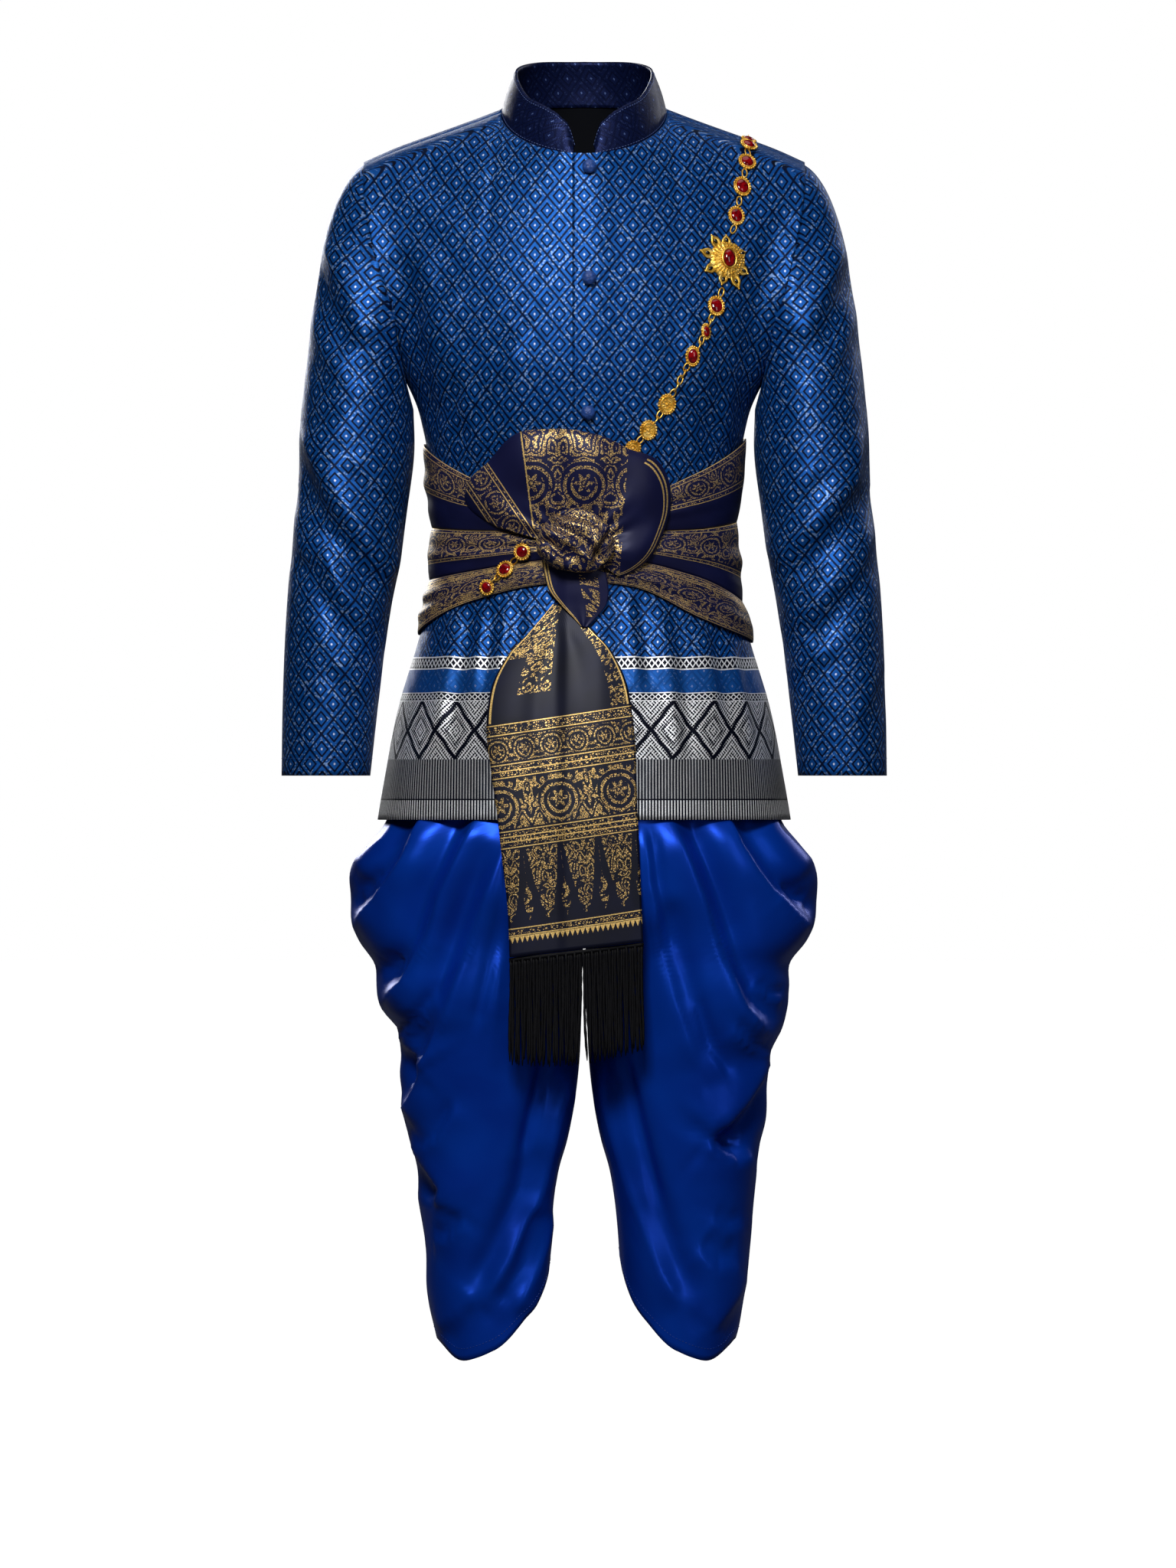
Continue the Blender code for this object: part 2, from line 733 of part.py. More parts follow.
def add_loop(gold):
    """The loop over the knot: a fan of cloth, pleated towards the knot, its rim rolled back."""
    angle = np.linspace(LOOP_RIM["angle"][0], LOOP_RIM["angle"][-1], 20)
    rim = through(angle, LOOP_RIM["angle"], LOOP_RIM["radius"])
    share = LOOP_FORM["share"][:, None]
    turn = np.radians(angle)
    x = LOOP_CENTRE[0] + rim * share * np.cos(turn)
    z = LOOP_CENTRE[1] + rim * share * np.sin(turn)
    pleat = LOOP_PLEAT * np.cos(np.radians(angle * 360 / 40)) * np.sin(math.pi * share**2)
    ends = ease((angle - angle[0]) / 22) * ease((angle[-1] - angle) / 16)
    low = LOOP_FORM["stands"][-1]
    stands = low + (LOOP_FORM["stands"][:, None] - low) * (0.35 + 0.65 * ends) + pleat * ends
    stands = np.where(share < 0.2, LOOP_FORM["stands"][0], stands)
    points = places(x, torso_front(x, z) - lap(x) - stands, z)
    cloth("sash_loop", points[:, ::-1], SASH_WALL, gold)


def add_knot(gold):
    """The knot: a bunched lump with grooves that turn towards its ends."""
    knot = bmesh.new()
    bmesh.ops.create_uvsphere(knot, u_segments=18, v_segments=8, radius=1)
    spin = Matrix.Rotation(math.radians(90), 4, "Y")
    bmesh.ops.transform(knot, matrix=spin, verts=knot.verts)
    y = torso_front(*KNOT) - OVERLAP_RISE - FLAP["stands"][0] - KNOT_SIZE[1] + KNOT_SINK
    middle = Vector((KNOT[0], y, KNOT[1]))
    for vertex in knot.verts:
        round_it = math.atan2(vertex.co.z, vertex.co.y)
        wave = math.sin(KNOT_GROOVES * round_it + KNOT_TWIST * vertex.co.x)
        groove = 1 + KNOT_GROOVE_DEPTH * wave
        vertex.co = Vector([c * groove * s for c, s in zip(vertex.co, KNOT_SIZE)])
        if vertex.co.y < 0:
            vertex.co.y = max(vertex.co.y, -KNOT_SIZE[1] * KNOT_FACE)
        else:
            vertex.co.y *= KNOT_BACK
        vertex.co = (vertex.co + middle) * MM
    mesh = bpy.data.meshes.new("sash_knot")
    knot.to_mesh(mesh)
    knot.free()
    add_object("sash_knot", mesh, gold)


def between(rows, count, lines):
    """A grid across the two edges that a table gives, with more rows put between its own."""
    keys = np.arange(len(rows["left"]), dtype=float)
    at = np.linspace(0, keys[-1], count)[:, None]
    across = np.linspace(0, 1, lines)
    x = through(at, keys, rows["left"]) * (1 - across) + through(at, keys, rows["right"]) * across
    z = through(at, keys, rows["left_z"]) * (1 - across)
    return x, z + through(at, keys, rows["right_z"]) * across, at, across


def add_flap(satin):
    """The flap that comes down from the knot and twists to a point."""
    x, z, at, across = between(FLAP, 8, 7)
    stands = through(at, np.arange(len(FLAP["left"]), dtype=float), FLAP["stands"])
    stands = stands + 1.2 * np.sin(math.pi * across)
    points = places(x, torso_front(x, z) - lap(x) - stands, z)[::-1]
    cloth("sash_flap", points, SASH_WALL, satin)


def tail_y(x, z):
    """The tail lies on the jacket down to the hem, and hangs free below it."""
    hem = LOWER_ROWS[0]
    free = np.maximum(hem - z, 0)
    on_jacket = torso_front(x, np.maximum(z, hem)) - lap(x)
    return on_jacket - TAIL_STANDS - TAIL_DRIFT * free


def add_tail(gold):
    x, z, at, across = between(TAIL, 15, 8)
    soft = 1.6 * (1 + np.cos(across * 2.5 * math.pi)) * ease((at - 2) / 3)
    points = places(x, tail_y(x, z) - soft, z)[::-1]
    cloth("sash_tail", points, SASH_WALL, gold)


def plate(corners, depth):
    """A flat piece from its outline in the XY plane, thickened along Z."""
    made = bmesh.new()
    face = made.faces.new([made.verts.new((x * MM, y * MM, 0)) for x, y in corners])
    raised = bmesh.ops.extrude_face_region(made, geom=[face])
    moved = [v for v in raised["geom"] if isinstance(v, bmesh.types.BMVert)]
    bmesh.ops.translate(made, verts=moved, vec=(0, 0, depth * MM))
    bmesh.ops.recalc_face_normals(made, faces=made.faces)
    return made


def add_fringe(black):
    """A comb of strands on a narrow strip, parted from the tail's lower edge."""
    left, right = TAIL["left"][-1], TAIL["right"][-1]
    left_z, right_z = TAIL["left_z"][-1], TAIL["right_z"][-1]
    pitch = (right - left) / STRANDS
    outline = [(left, left_z - SEAM), (left, left_z - STRIP)]
    for i in range(STRANDS):
        x = left + (i + 0.5 * (1 - STRAND_SHARE)) * pitch
        wide = STRAND_SHARE * pitch
        share = (i + 0.5) / STRANDS
        z = left_z + (right_z - left_z) * share - STRIP
        tip = TIP_Z - TIP_SAG * math.sin(math.pi * share) + TIP_RISE * share
        tip += TIP_WAVER * math.sin(i * 2.4)
        lean = 0.45 * math.sin(i * 1.7) + (0.7 if x > 0 else -0.7)
        outline += [(x, z), (x + lean, tip), (x + wide * 0.8 + lean, tip), (x + wide, z)]
    outline += [(right, right_z - STRIP), (right, right_z - SEAM)]
    comb = plate(outline, STRAND_DEPTH)
    for vertex in comb.verts:
        x, z, deep = vertex.co / MM
        y = float(tail_y(np.array(x), np.array(z))) + deep
        vertex.co = Vector((x, y, z)) * MM
    bmesh.ops.recalc_face_normals(comb, faces=comb.faces)
    mesh = bpy.data.meshes.new("sash_fringe")
    comb.to_mesh(mesh)
    comb.free()
    add_object("sash_fringe", mesh, black)


def leg_points(outline, folds, side):
    """One half of the trousers: half of the hips above, closing into a leg below the crotch."""
    share = np.concatenate([np.linspace(0, 0.55, 16), np.linspace(0.595, 1, 10)])
    turn = 2 * math.pi * share
    hem = through(np.cos(turn), LEG_HEM["cosine"], LEG_HEM["z"])
    lower = CROTCH_Z + (hem - CROTCH_Z) * LEG_LOWER[::-1, None]
    z = np.concatenate([lower, LEG_UPPER[:, None] + 0 * hem])
    outer = through(z, outline["z"], outline["outer"])
    inner = through(z, LEG_INNER["z"], LEG_INNER["inner"])
    depth = {name: through(z, LEG_DEPTH["z"], LEG_DEPTH[name]) for name in LEG_DEPTH if name != "z"}
    ring_x = (outer + inner) / 2 - (outer - inner) / 2 * fuller(np.cos(turn))
    ring_y = depth["middle"] - depth["half"] * fuller(np.sin(turn))
    half_x = outer * np.sin(turn / 2) + CENTRE_GAP
    half_y = -fuller(np.cos(turn / 2)) * np.where(share < 0.5, depth["front"], depth["back"])
    closed = ease((SPREAD_Z - z) / (SPREAD_Z - CROTCH_Z))
    x = half_x + (ring_x - half_x) * closed
    points = places(x, half_y + (ring_y - half_y) * closed, z)
    if side < 0:
        points = mirrored(points)
    seam = points[:, [0, -1]].copy()
    points = folded(points, folds)
    points[:, [0, -1]] = seam
    return points


def add_trousers(blue):
    """Two wide halves joined at the centre seams, hung from a waistband inside the jacket."""
    cloth("trousers_left_leg", leg_points(LEG_LEFT, FOLDS_LEFT, 1), TROUSER_WALL, blue)
    cloth("trousers_right_leg", leg_points(LEG_RIGHT, FOLDS_RIGHT, -1), TROUSER_WALL, blue)
    z = np.array([WAIST_LOW, WAIST_TOP])[:, None]
    angle = np.linspace(-180, 180, 29)
    inside = -(JACKET_WALL + WAIST_ROOM)
    cloth("trousers_waistband", torso(angle + 0 * z, z, inside), TROUSER_WALL, blue)


def tree_of(*names):
    """The pieces' evaluated surfaces, for resting trim on them."""
    graph = bpy.context.evaluated_depsgraph_get()
    merged = bmesh.new()
    for name in names:
        mesh = bpy.data.objects[name].evaluated_get(graph).to_mesh()
        merged.from_mesh(mesh)
    tree = BVHTree.FromBMesh(merged)
    merged.free()
    return tree


def rest_on(tree, x, z, tilt=0.0, behind=False, deep=-14):
    """Where a ray through a place meets the cloth, and the cloth's direction there."""
    turn = math.radians(tilt)
    ray = Vector((0, -math.cos(turn) if behind else math.cos(turn), -math.sin(turn)))
    start = Vector((x, deep, z)) * MM - ray * 0.4
    place, out, _, _ = tree.ray_cast(start, ray)
    return place, (out if out.dot(ray) < 0 else -out)


def stand_on(place, out, lift):
    """A frame with its Z along the cloth's direction, and its Y as upright as can be."""
    side = Vector((0, 0, 1)).cross(out)
    side = side.normalized() if side.length > 0.3 else Vector((1, 0, 0))
    up = out.cross(side)
    turned = Matrix((side, up, out)).transposed().to_4x4()
    return Matrix.Translation(place + out * lift * MM) @ turned


def add_disc(mesh, place, wide, high, depth, top=0.72, sides=10):
    """A low tapered disc on a frame, its foot at the frame's origin."""
    made = bmesh.ops.create_cone(
        mesh,
        cap_ends=True,
        segments=sides,
        radius1=0.5,
        radius2=0.5 * top,
        depth=1,
        matrix=Matrix.Translation((0, 0, 0.5)),
    )
    size = Matrix.Diagonal((wide * MM, high * MM, depth * MM, 1))
    bmesh.ops.transform(mesh, matrix=place @ size, verts=made["verts"])


def add_ring(mesh, place, reach, thin):
    """A small link: a torus stretched along the chain."""
    bpy.ops.mesh.primitive_torus_add(
        major_radius=reach * MM, minor_radius=thin * MM, major_segments=7, minor_segments=3
    )
    made = bpy.context.active_object
    stretch = Matrix.Diagonal((1.25, 0.8, 1, 1))
    made.data.transform(place @ stretch)
    mesh.from_mesh(made.data)
    data = made.data
    bpy.data.objects.remove(made, do_unlink=True)
    bpy.data.meshes.remove(data)


def joined(name, base, extra, colour):
    """One body from a piece's solids and the solids that overlap them."""
    parts = []
    for source, holder in ((base, OUTFIT), (extra, CUTTERS)):
        mesh = bpy.data.meshes.new(name)
        source.to_mesh(mesh)
        source.free()
        thing = bpy.data.objects.new(name if holder is OUTFIT else name + "_links", mesh)
        holder.objects.link(thing)
        parts.append(thing)
    parts[0].data.materials.append(colour)
    parts[0].data.shade_smooth()
    parts[0].data.set_sharp_from_angle(angle=math.radians(35))
    parts[1].hide_render = True
    parts[1].display_type = "WIRE"
    union = parts[0].modifiers.new("links", "BOOLEAN")
    union.operation = "UNION"
    union.object = parts[1]
    union.solver = "EXACT"
    return parts[0]


def add_stone(name, place, wide, high, ruby):
    gem = bmesh.new()
    add_disc(gem, place, wide, high, 1.6, 0.62, 8)
    mesh = bpy.data.meshes.new(name)
    gem.to_mesh(mesh)
    gem.free()
    add_object(name, mesh, ruby)


def add_chain_run(name, rows, tree, gold, ruby, first_stone):
    """Medallions along a run, a link between each two, and a stone on each that has one."""
    discs = bmesh.new()
    links = bmesh.new()
    seats = []
    for x, z, tilt, lift in zip(rows["x"], rows["z"], rows["tilt"], rows["seat"]):
        place, out = rest_on(tree, x, z, tilt)
        seats.append(stand_on(place, out, lift))
    number = first_stone
    for seat, wide, high, stone in zip(seats, rows["wide"], rows["high"], rows["stone"]):
        add_disc(discs, seat, wide, high, MEDALLION)
        if stone:
            lifted = seat @ Matrix.Translation((0, 0, (MEDALLION + 0.3) * MM))
            add_stone(f"gem_{number:02d}", lifted, wide * STONE, high * STONE, ruby)
            number += 1
    for first, second, high, low in zip(seats, seats[1:], rows["high"], rows["high"][1:]):
        step = second.translation - first.translation
        middle = (first.translation + second.translation) / 2
        middle += step.normalized() * (high - low) / 4 * MM
        out = (first.col[2].xyz + second.col[2].xyz).normalized()
        across = (step - out * step.dot(out)).normalized()
        turned = Matrix((across, out.cross(across), out)).transposed().to_4x4()
        place = Matrix.Translation(middle + out * 1.4 * MM) @ turned
        room = step.length / MM - (high + low) / 2
        add_ring(links, place, max(RING[0], room / 2.5 + 2.2), RING[1])
    joined(name, discs, links, gold)
    return number


def add_brooch(tree, gold, ruby, number):
    """A sun with uneven pointed rays, a raised middle and an oval stone."""
    place, out = rest_on(tree, *BROOCH)
    seat = stand_on(place, out, BROOCH_SEAT)
    tips = BROOCH_RAYS["angle"]
    hollows = (tips + np.append(tips[1:], tips[0] + 360)) / 2
    turns = np.radians(np.stack([tips, hollows], axis=1).ravel())
    reaches = np.stack([BROOCH_RAYS["reach"], np.full(len(tips), BROOCH_BODY)], axis=1).ravel()
    star = plate(list(zip(reaches * np.cos(turns), reaches * np.sin(turns))), BROOCH_PLATE)
    bmesh.ops.transform(star, matrix=seat, verts=star.verts)
    boss = bmesh.new()
    add_disc(boss, seat @ Matrix.Translation((0, 0, 0.6 * MM)), *BROOCH_BOSS, 0.72, 14)
    joined("chain_brooch", star, boss, gold)
    top = seat @ Matrix.Translation((0, 0, (BROOCH_BOSS[2] + 0.9) * MM))
    add_stone(f"gem_{number:02d}", top, *BROOCH_STONE, ruby)
    return number + 1


def add_back_chain(tree, gold):
    """The chain's plain run across the back, from the shoulder down into the sash."""
    keys = np.arange(len(BACK_CHAIN["x"]), dtype=float)
    at = np.linspace(0, keys[-1], 26)
    curve = bpy.data.curves.new("chain_back", "CURVE")
    curve.dimensions = "3D"
    curve.bevel_depth = CABLE * MM
    curve.bevel_resolution = 1
    curve.use_fill_caps = True
    spline = curve.splines.new("POLY")
    spline.points.add(len(at) - 1)
    for i, share in enumerate(at):
        x = float(through(share, keys, BACK_CHAIN["x"]))
        z = float(through(share, keys, BACK_CHAIN["z"]))
        y = float(through(share, keys, BACK_CHAIN["y"]))
        tilt = float(through(share, keys, BACK_CHAIN["tilt"]))
        place, out = rest_on(tree, x, z, tilt, True, y)
        spline.points[i].co = (*(place + out * CABLE_LIFT * MM), 1)
        spline.points[i].radius = 1 if i % 2 else CABLE_NECK
    curve.materials.append(gold)
    OUTFIT.objects.link(bpy.data.objects.new("chain_back", curve))


def add_chain(gold, ruby):
    """The chain over the wearer's left shoulder, resting on the jacket and then on the sash."""
    jacket = tree_of("jacket_front_left", "jacket_front_right", "jacket_back", "jacket_sleeve_left")
    number = add_chain_run("chain_front_upper", UPPER_CHAIN, jacket, gold, ruby, 1)
    number = add_brooch(jacket, gold, ruby, number)
    number = add_chain_run("chain_front_middle", MIDDLE_CHAIN, jacket, gold, ruby, number)
    sash = tree_of("sash_wrap_upper", "sash_wrap_middle", "sash_wrap_lower")
    add_chain_run("chain_front_lower", LOWER_CHAIN, sash, gold, ruby, number)
    add_back_chain(tree_of("jacket_back", "jacket_front_left"), gold)


def add_buttons(navy):
    """Cloth-covered buttons down the overlap."""
    tree = tree_of("jacket_front_left")
    for i, (x, z, size) in enumerate(zip(BUTTONS["x"], BUTTONS["z"], BUTTONS["size"]), 1):
        place, out = rest_on(tree, x, z)
        ball = bmesh.new()
        half = size / 2
        frame = stand_on(place, out, 0.35 * size + 0.3)
        size_it = Matrix.Diagonal((half * MM, half * MM, 0.35 * size * MM, 1))
        bmesh.ops.create_uvsphere(ball, u_segments=10, v_segments=6, radius=1, matrix=frame @ size_it)
        mesh = bpy.data.meshes.new(f"button_{i}")
        ball.to_mesh(mesh)
        ball.free()
        add_object(f"button_{i}", mesh, navy)


clear_scene()
OUTFIT = collection("thai_formal_outfit")
CUTTERS = collection("cutters", hidden=True)
JACQUARD = finish("blue_jacquard", (0.02, 0.08, 0.35), 0.45)
COLLAR_CLOTH = finish("navy_jacquard", (0.01, 0.02, 0.12), 0.5)
TROUSER_SATIN = finish("royal_blue_satin", (0.004, 0.03, 0.35), 0.35)
SASH_SATIN = finish("navy_satin", (0.01, 0.012, 0.07), 0.4)
SASH_GOLD = finish("gold_brocade", (0.45, 0.3, 0.09), 0.45, 0.3)
FRINGE_YARN = finish("black_yarn", (0.004, 0.004, 0.006), 0.8)
GOLD = finish("gold_plate", (0.75, 0.45, 0.08), 0.25, 1)
RUBY = finish("red_glass", (0.3, 0.0, 0.01), 0.05)

add_fronts(JACQUARD)
add_back(JACQUARD)
add_sleeves(JACQUARD)
add_collar(COLLAR_CLOTH)
add_buttons(COLLAR_CLOTH)
add_trousers(TROUSER_SATIN)
add_wraps(SASH_SATIN)
add_loop(SASH_GOLD)
add_knot(SASH_GOLD)
add_flap(SASH_SATIN)
add_tail(SASH_GOLD)
add_fringe(FRINGE_YARN)
add_chain(GOLD, RUBY)
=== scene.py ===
import json
import math

import bpy
import numpy as np
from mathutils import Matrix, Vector
from mathutils.bvhtree import BVHTree

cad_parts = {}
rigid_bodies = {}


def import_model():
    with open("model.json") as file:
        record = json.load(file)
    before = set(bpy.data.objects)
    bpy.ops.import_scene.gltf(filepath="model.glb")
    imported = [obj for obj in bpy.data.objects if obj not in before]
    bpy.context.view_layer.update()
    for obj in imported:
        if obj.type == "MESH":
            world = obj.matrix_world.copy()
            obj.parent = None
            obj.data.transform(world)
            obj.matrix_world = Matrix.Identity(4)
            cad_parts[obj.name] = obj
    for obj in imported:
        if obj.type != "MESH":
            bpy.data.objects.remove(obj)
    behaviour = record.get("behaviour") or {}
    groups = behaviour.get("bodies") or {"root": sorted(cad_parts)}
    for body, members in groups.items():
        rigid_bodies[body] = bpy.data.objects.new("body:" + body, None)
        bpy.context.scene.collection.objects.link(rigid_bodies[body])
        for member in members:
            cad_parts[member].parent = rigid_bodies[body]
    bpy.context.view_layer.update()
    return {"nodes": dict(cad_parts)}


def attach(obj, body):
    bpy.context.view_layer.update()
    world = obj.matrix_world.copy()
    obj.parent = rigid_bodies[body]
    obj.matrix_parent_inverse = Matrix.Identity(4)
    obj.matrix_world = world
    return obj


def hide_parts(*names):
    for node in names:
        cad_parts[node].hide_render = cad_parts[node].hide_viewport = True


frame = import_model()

# A worn Thai formal outfit: jacquard jacket, satin trousers, knotted brocade sash and a gold chain.
# Lengths are in mm and angles in degrees until a mesh is made, and then in metres.
# X runs to the wearer's left, the front faces -Y, Z is up, and the origin is mid-neck.
mm = 0.001

# The camera looks level at the middle of the outfit, from far off.
studio = {
    "floorZ": -1.41,
    "floorHalf": 60.0,
    "cameraAway": 20.0,
    "centreX": 0.0039,
    "centreZ": -0.6835,
    "viewHeight": 1.6083,
    "sensor": 36.0,
    "worldLight": 0.02,
    "keyPower": 128.0,
    "fillPower": 15.0,
    "rimPower": 26.0,
    "backPower": 60.0,
    "skyStrength": 0.9,
    "floorGlow": 0.76,
}


def addNode(tree, kind, *links, ramp=None, **settings):
    # Adds one node. Its inputs take numbers, sockets, nodes, or a tuple such as ("ADD", a, b),
    # which is a small sum for a Math node; other settings are set on the node itself.
    node = tree.nodes.new("ShaderNode" + kind)
    inputs = dict(enumerate(links))
    for key, value in settings.items():
        if key in node.inputs:
            inputs[key] = value
        else:
            setattr(node, key, value)
    for key, value in inputs.items():
        if isinstance(value, tuple) and isinstance(value[0], str):
            value = addNode(tree, "Math", *value[1:], operation=value[0])
        if isinstance(value, bpy.types.Node):
            value = value.outputs[0]
        if isinstance(value, bpy.types.NodeSocket):
            tree.links.new(value, node.inputs[key])
        elif value is not None:
            node.inputs[key].default_value = value
    for i, (place, colour) in enumerate(ramp or []):
        stops = node.color_ramp.elements
        stop = stops[i] if i < len(stops) else stops.new(place)
        stop.position = place
        stop.color = linear(colour)
    return node


def linear(colour):
    # An sRGB hex colour as linear RGBA.
    parts = np.array([int(colour[i:i + 2], 16) for i in (1, 3, 5)]) / 255
    flat = np.where(parts > 0.04045, ((parts + 0.055) / 1.055) ** 2.4, parts / 12.92)
    return (*flat.tolist(), 1.0)


def buildStudio():
    scene = bpy.context.scene
    scene.view_settings.view_transform = "Standard"
    data = bpy.data.cameras.new("camera")
    data.sensor_width = studio["sensor"]
    data.lens = studio["sensor"] * studio["cameraAway"] / studio["viewHeight"]
    data.clip_end = 200
    camera = bpy.data.objects.new("camera", data)
    camera.location = (studio["centreX"], -studio["cameraAway"], studio["centreZ"])
    camera.rotation_euler = (math.pi / 2, 0, 0)
    scene.collection.objects.link(camera)
    scene.camera = camera
    # The world is a white backdrop to the eye and a dim fill to the cloth.
    world = bpy.data.worlds.new("studio")
    world.use_nodes = True
    scene.world = world
    tree = world.node_tree
    seen = addNode(tree, "LightPath").outputs["Is Camera Ray"]
    shade = ("ADD", ("MULTIPLY", seen, 1 - studio["worldLight"]), studio["worldLight"])
    tree.links.new(addNode(tree, "Math", *shade[1:], operation="ADD").outputs[0],
                   tree.nodes["Background"].inputs["Strength"])
    tree.nodes["Background"].inputs["Color"].default_value = (1, 1, 1, 1)
    lamps = (
        # name, place, size, power; each points at the chest or the waist
        ("key", (-0.45, -3.3, 1.5), (1.1, 0.9), studio["keyPower"], -0.45),
        ("fill", (1.9, -3.3, 0.1), (0.7, 2.0), studio["fillPower"], -0.8),
        ("rim", (2.2, 2.6, 1.2), (1.2, 2.2), studio["rimPower"], -0.5),
        ("back", (-1.2, 3.2, 0.7), (1.2, 1.8), studio["backPower"], -0.6),
    )
    for name, place, size, power, aim in lamps:
        light = bpy.data.lights.new(name, "AREA")
        light.shape = "RECTANGLE"
        light.size, light.size_y = size
        light.energy = power
        lamp = bpy.data.objects.new(name, light)
        lamp.location = place
        toward = Vector((0, 0, aim)) - Vector(place)
        lamp.rotation_euler = toward.to_track_quat("-Z", "Y").to_euler()
        scene.collection.objects.link(lamp)
    sky = bpy.data.lights.new("overhead", "SUN")
    sky.energy = studio["skyStrength"]
    sky.angle = math.radians(60)
    lamp = bpy.data.objects.new("overhead", sky)
    scene.collection.objects.link(lamp)
    half = studio["floorHalf"]
    floor = bpy.data.meshes.new("floor")
    square = ((-half, -half), (half, -half), (half, half), (-half, half))
    corners = [(x, y, studio["floorZ"]) for x, y in square]
    floor.from_pydata(corners, [], [(0, 1, 2, 3)])
    ground = bpy.data.objects.new("floor", floor)
    scene.collection.objects.link(ground)
    paper = bpy.data.materials.new("mattWhitePaperSweep")
    paper.use_nodes = True
    shader = paper.node_tree.nodes["Principled BSDF"]
    shader.inputs["Roughness"].default_value = 0.9
    shader.inputs["Emission Color"].default_value = (1, 1, 1, 1)
    # It is white to the eye, and throws little light back on the cloth.
    seen = addNode(paper.node_tree, "LightPath").outputs["Is Camera Ray"]
    tone = addNode(paper.node_tree, "MixRGB", seen, linear("#3c3c3c"), linear("#f7f7f7"))
    paper.node_tree.links.new(tone.outputs[0], shader.inputs["Base Color"])
    glow = addNode(paper.node_tree, "Math", seen, studio["floorGlow"], operation="MULTIPLY")
    paper.node_tree.links.new(glow.outputs[0], shader.inputs["Emission Strength"])
    floor.materials.append(paper)
    print("studio ready")


buildStudio()


# Shapes shared by the pieces

def table(names, *rows):
    # Rows of numbers as one array for each named column.
    return dict(zip(names.split(), np.array(rows, float).T))


def through(at, keys, values):
    # A smooth curve through values at rising keys: cubic Hermite, level beyond its ends.
    slope = np.gradient(values, keys)
    at = np.clip(at, keys[0], keys[-1])
    i = np.clip(np.searchsorted(keys, at, side="right") - 1, 0, len(keys) - 2)
    span = keys[i + 1] - keys[i]
    t = (at - keys[i]) / span
    start = (2 * t**3 - 3 * t**2 + 1) * values[i] + (t**3 - 2 * t**2 + t) * span * slope[i]
    end = (3 * t**2 - 2 * t**3) * values[i + 1] + (t**3 - t**2) * span * slope[i + 1]
    return start + end


def ease(t):
    # A smooth step: 3 t squared less 2 t cubed.
    t = np.clip(t, 0, 1)
    return t * t * (3 - 2 * t)


def fuller(value, power=0.9):
    # A sine or cosine raised to a power under 1, its sign kept.
    return np.sign(value) * np.abs(value) ** power


def places(x, y, z):
    return np.stack(np.broadcast_arrays(x, y, z), axis=-1).astype(float)


def outward(points):
    # The unit cross product of a grid's two directions, its rows going up.
    found = np.cross(np.gradient(points, axis=1), np.gradient(points, axis=0))
    return found / np.maximum(np.linalg.norm(found, axis=-1, keepdims=True), 1e-9)


def mirrored(points):
    return (points * (-1, 1, 1))[:, ::-1]


def denser(values, most):
    # The same values with more put between them, no two further apart than most.
    steps = []
    for a, b in zip(values, values[1:]):
        steps.append(np.linspace(a, b, max(2, math.ceil(abs(b - a) / most) + 1))[:-1])
    return np.concatenate([*steps, values[-1:]])


def folded(points, folds, middle=0.0, backShare=0.7, hollow=0.5, sharp=2.0, side=1, steep=1.0):
    # Each fold is (height, width, crest line in x and z). A point near the crest line is lifted
    # along the cloth's normal by a bell curve, steeper on one side, with a hollow beside it there.
    # The side is to the left of the way in which the line runs, or to the right where it is -1.
    x, y, z = np.moveaxis(points, -1, 0)
    lift = np.zeros(x.shape)
    for height, width, crest in folds:
        line = np.array(crest, float)
        near = np.full(x.shape, np.inf)
        beside = np.zeros(x.shape)
        place = np.zeros(x.shape)
        for i, (start, end) in enumerate(zip(line[:-1], line[1:])):
            step = end - start
            t = np.clip(((x - start[0]) * step[0] + (z - start[1]) * step[1]) / (step @ step), 0, 1)
            across = x - start[0] - t * step[0]
            down = z - start[1] - t * step[1]
            far = np.hypot(across, down)
            closer = far < near
            near = np.where(closer, far, near)
            beside = np.where(closer, side * (down * step[0] - across * step[1]) / np.hypot(*step), beside)
            place = np.where(closer, (i + t) / (len(line) - 1), place)
        taper = ease(place * 5 + 0.25) * ease((1 - place) * 5 + 0.25)
        on = ease(0.5 + beside / width)
        reach = width * (1 + (1 - on) * (steep - 1)) * (1 - on * (1 - 1 / steep) * 0.6)
        ridge = np.exp(-((near / reach) ** sharp))
        trough = on * np.exp(-(((near - 1.6 * width) / width) ** 2))
        lift += height * taper * (ridge - hollow * trough)
    facing = outward(points)
    lift = lift * np.where(y > middle, backShare, 1) * (0.3 + 0.7 * ease(np.abs(facing[..., 1]) / 0.5))
    return points + facing * lift[..., None]


def lengthsAlong(points, axis):
    # The running length of a grid's lines along one axis.
    step = np.linalg.norm(np.diff(points, axis=axis), axis=-1)
    start = np.zeros_like(np.take(step, [0], axis=axis))
    return np.concatenate([start, np.cumsum(step, axis=axis)], axis=axis)


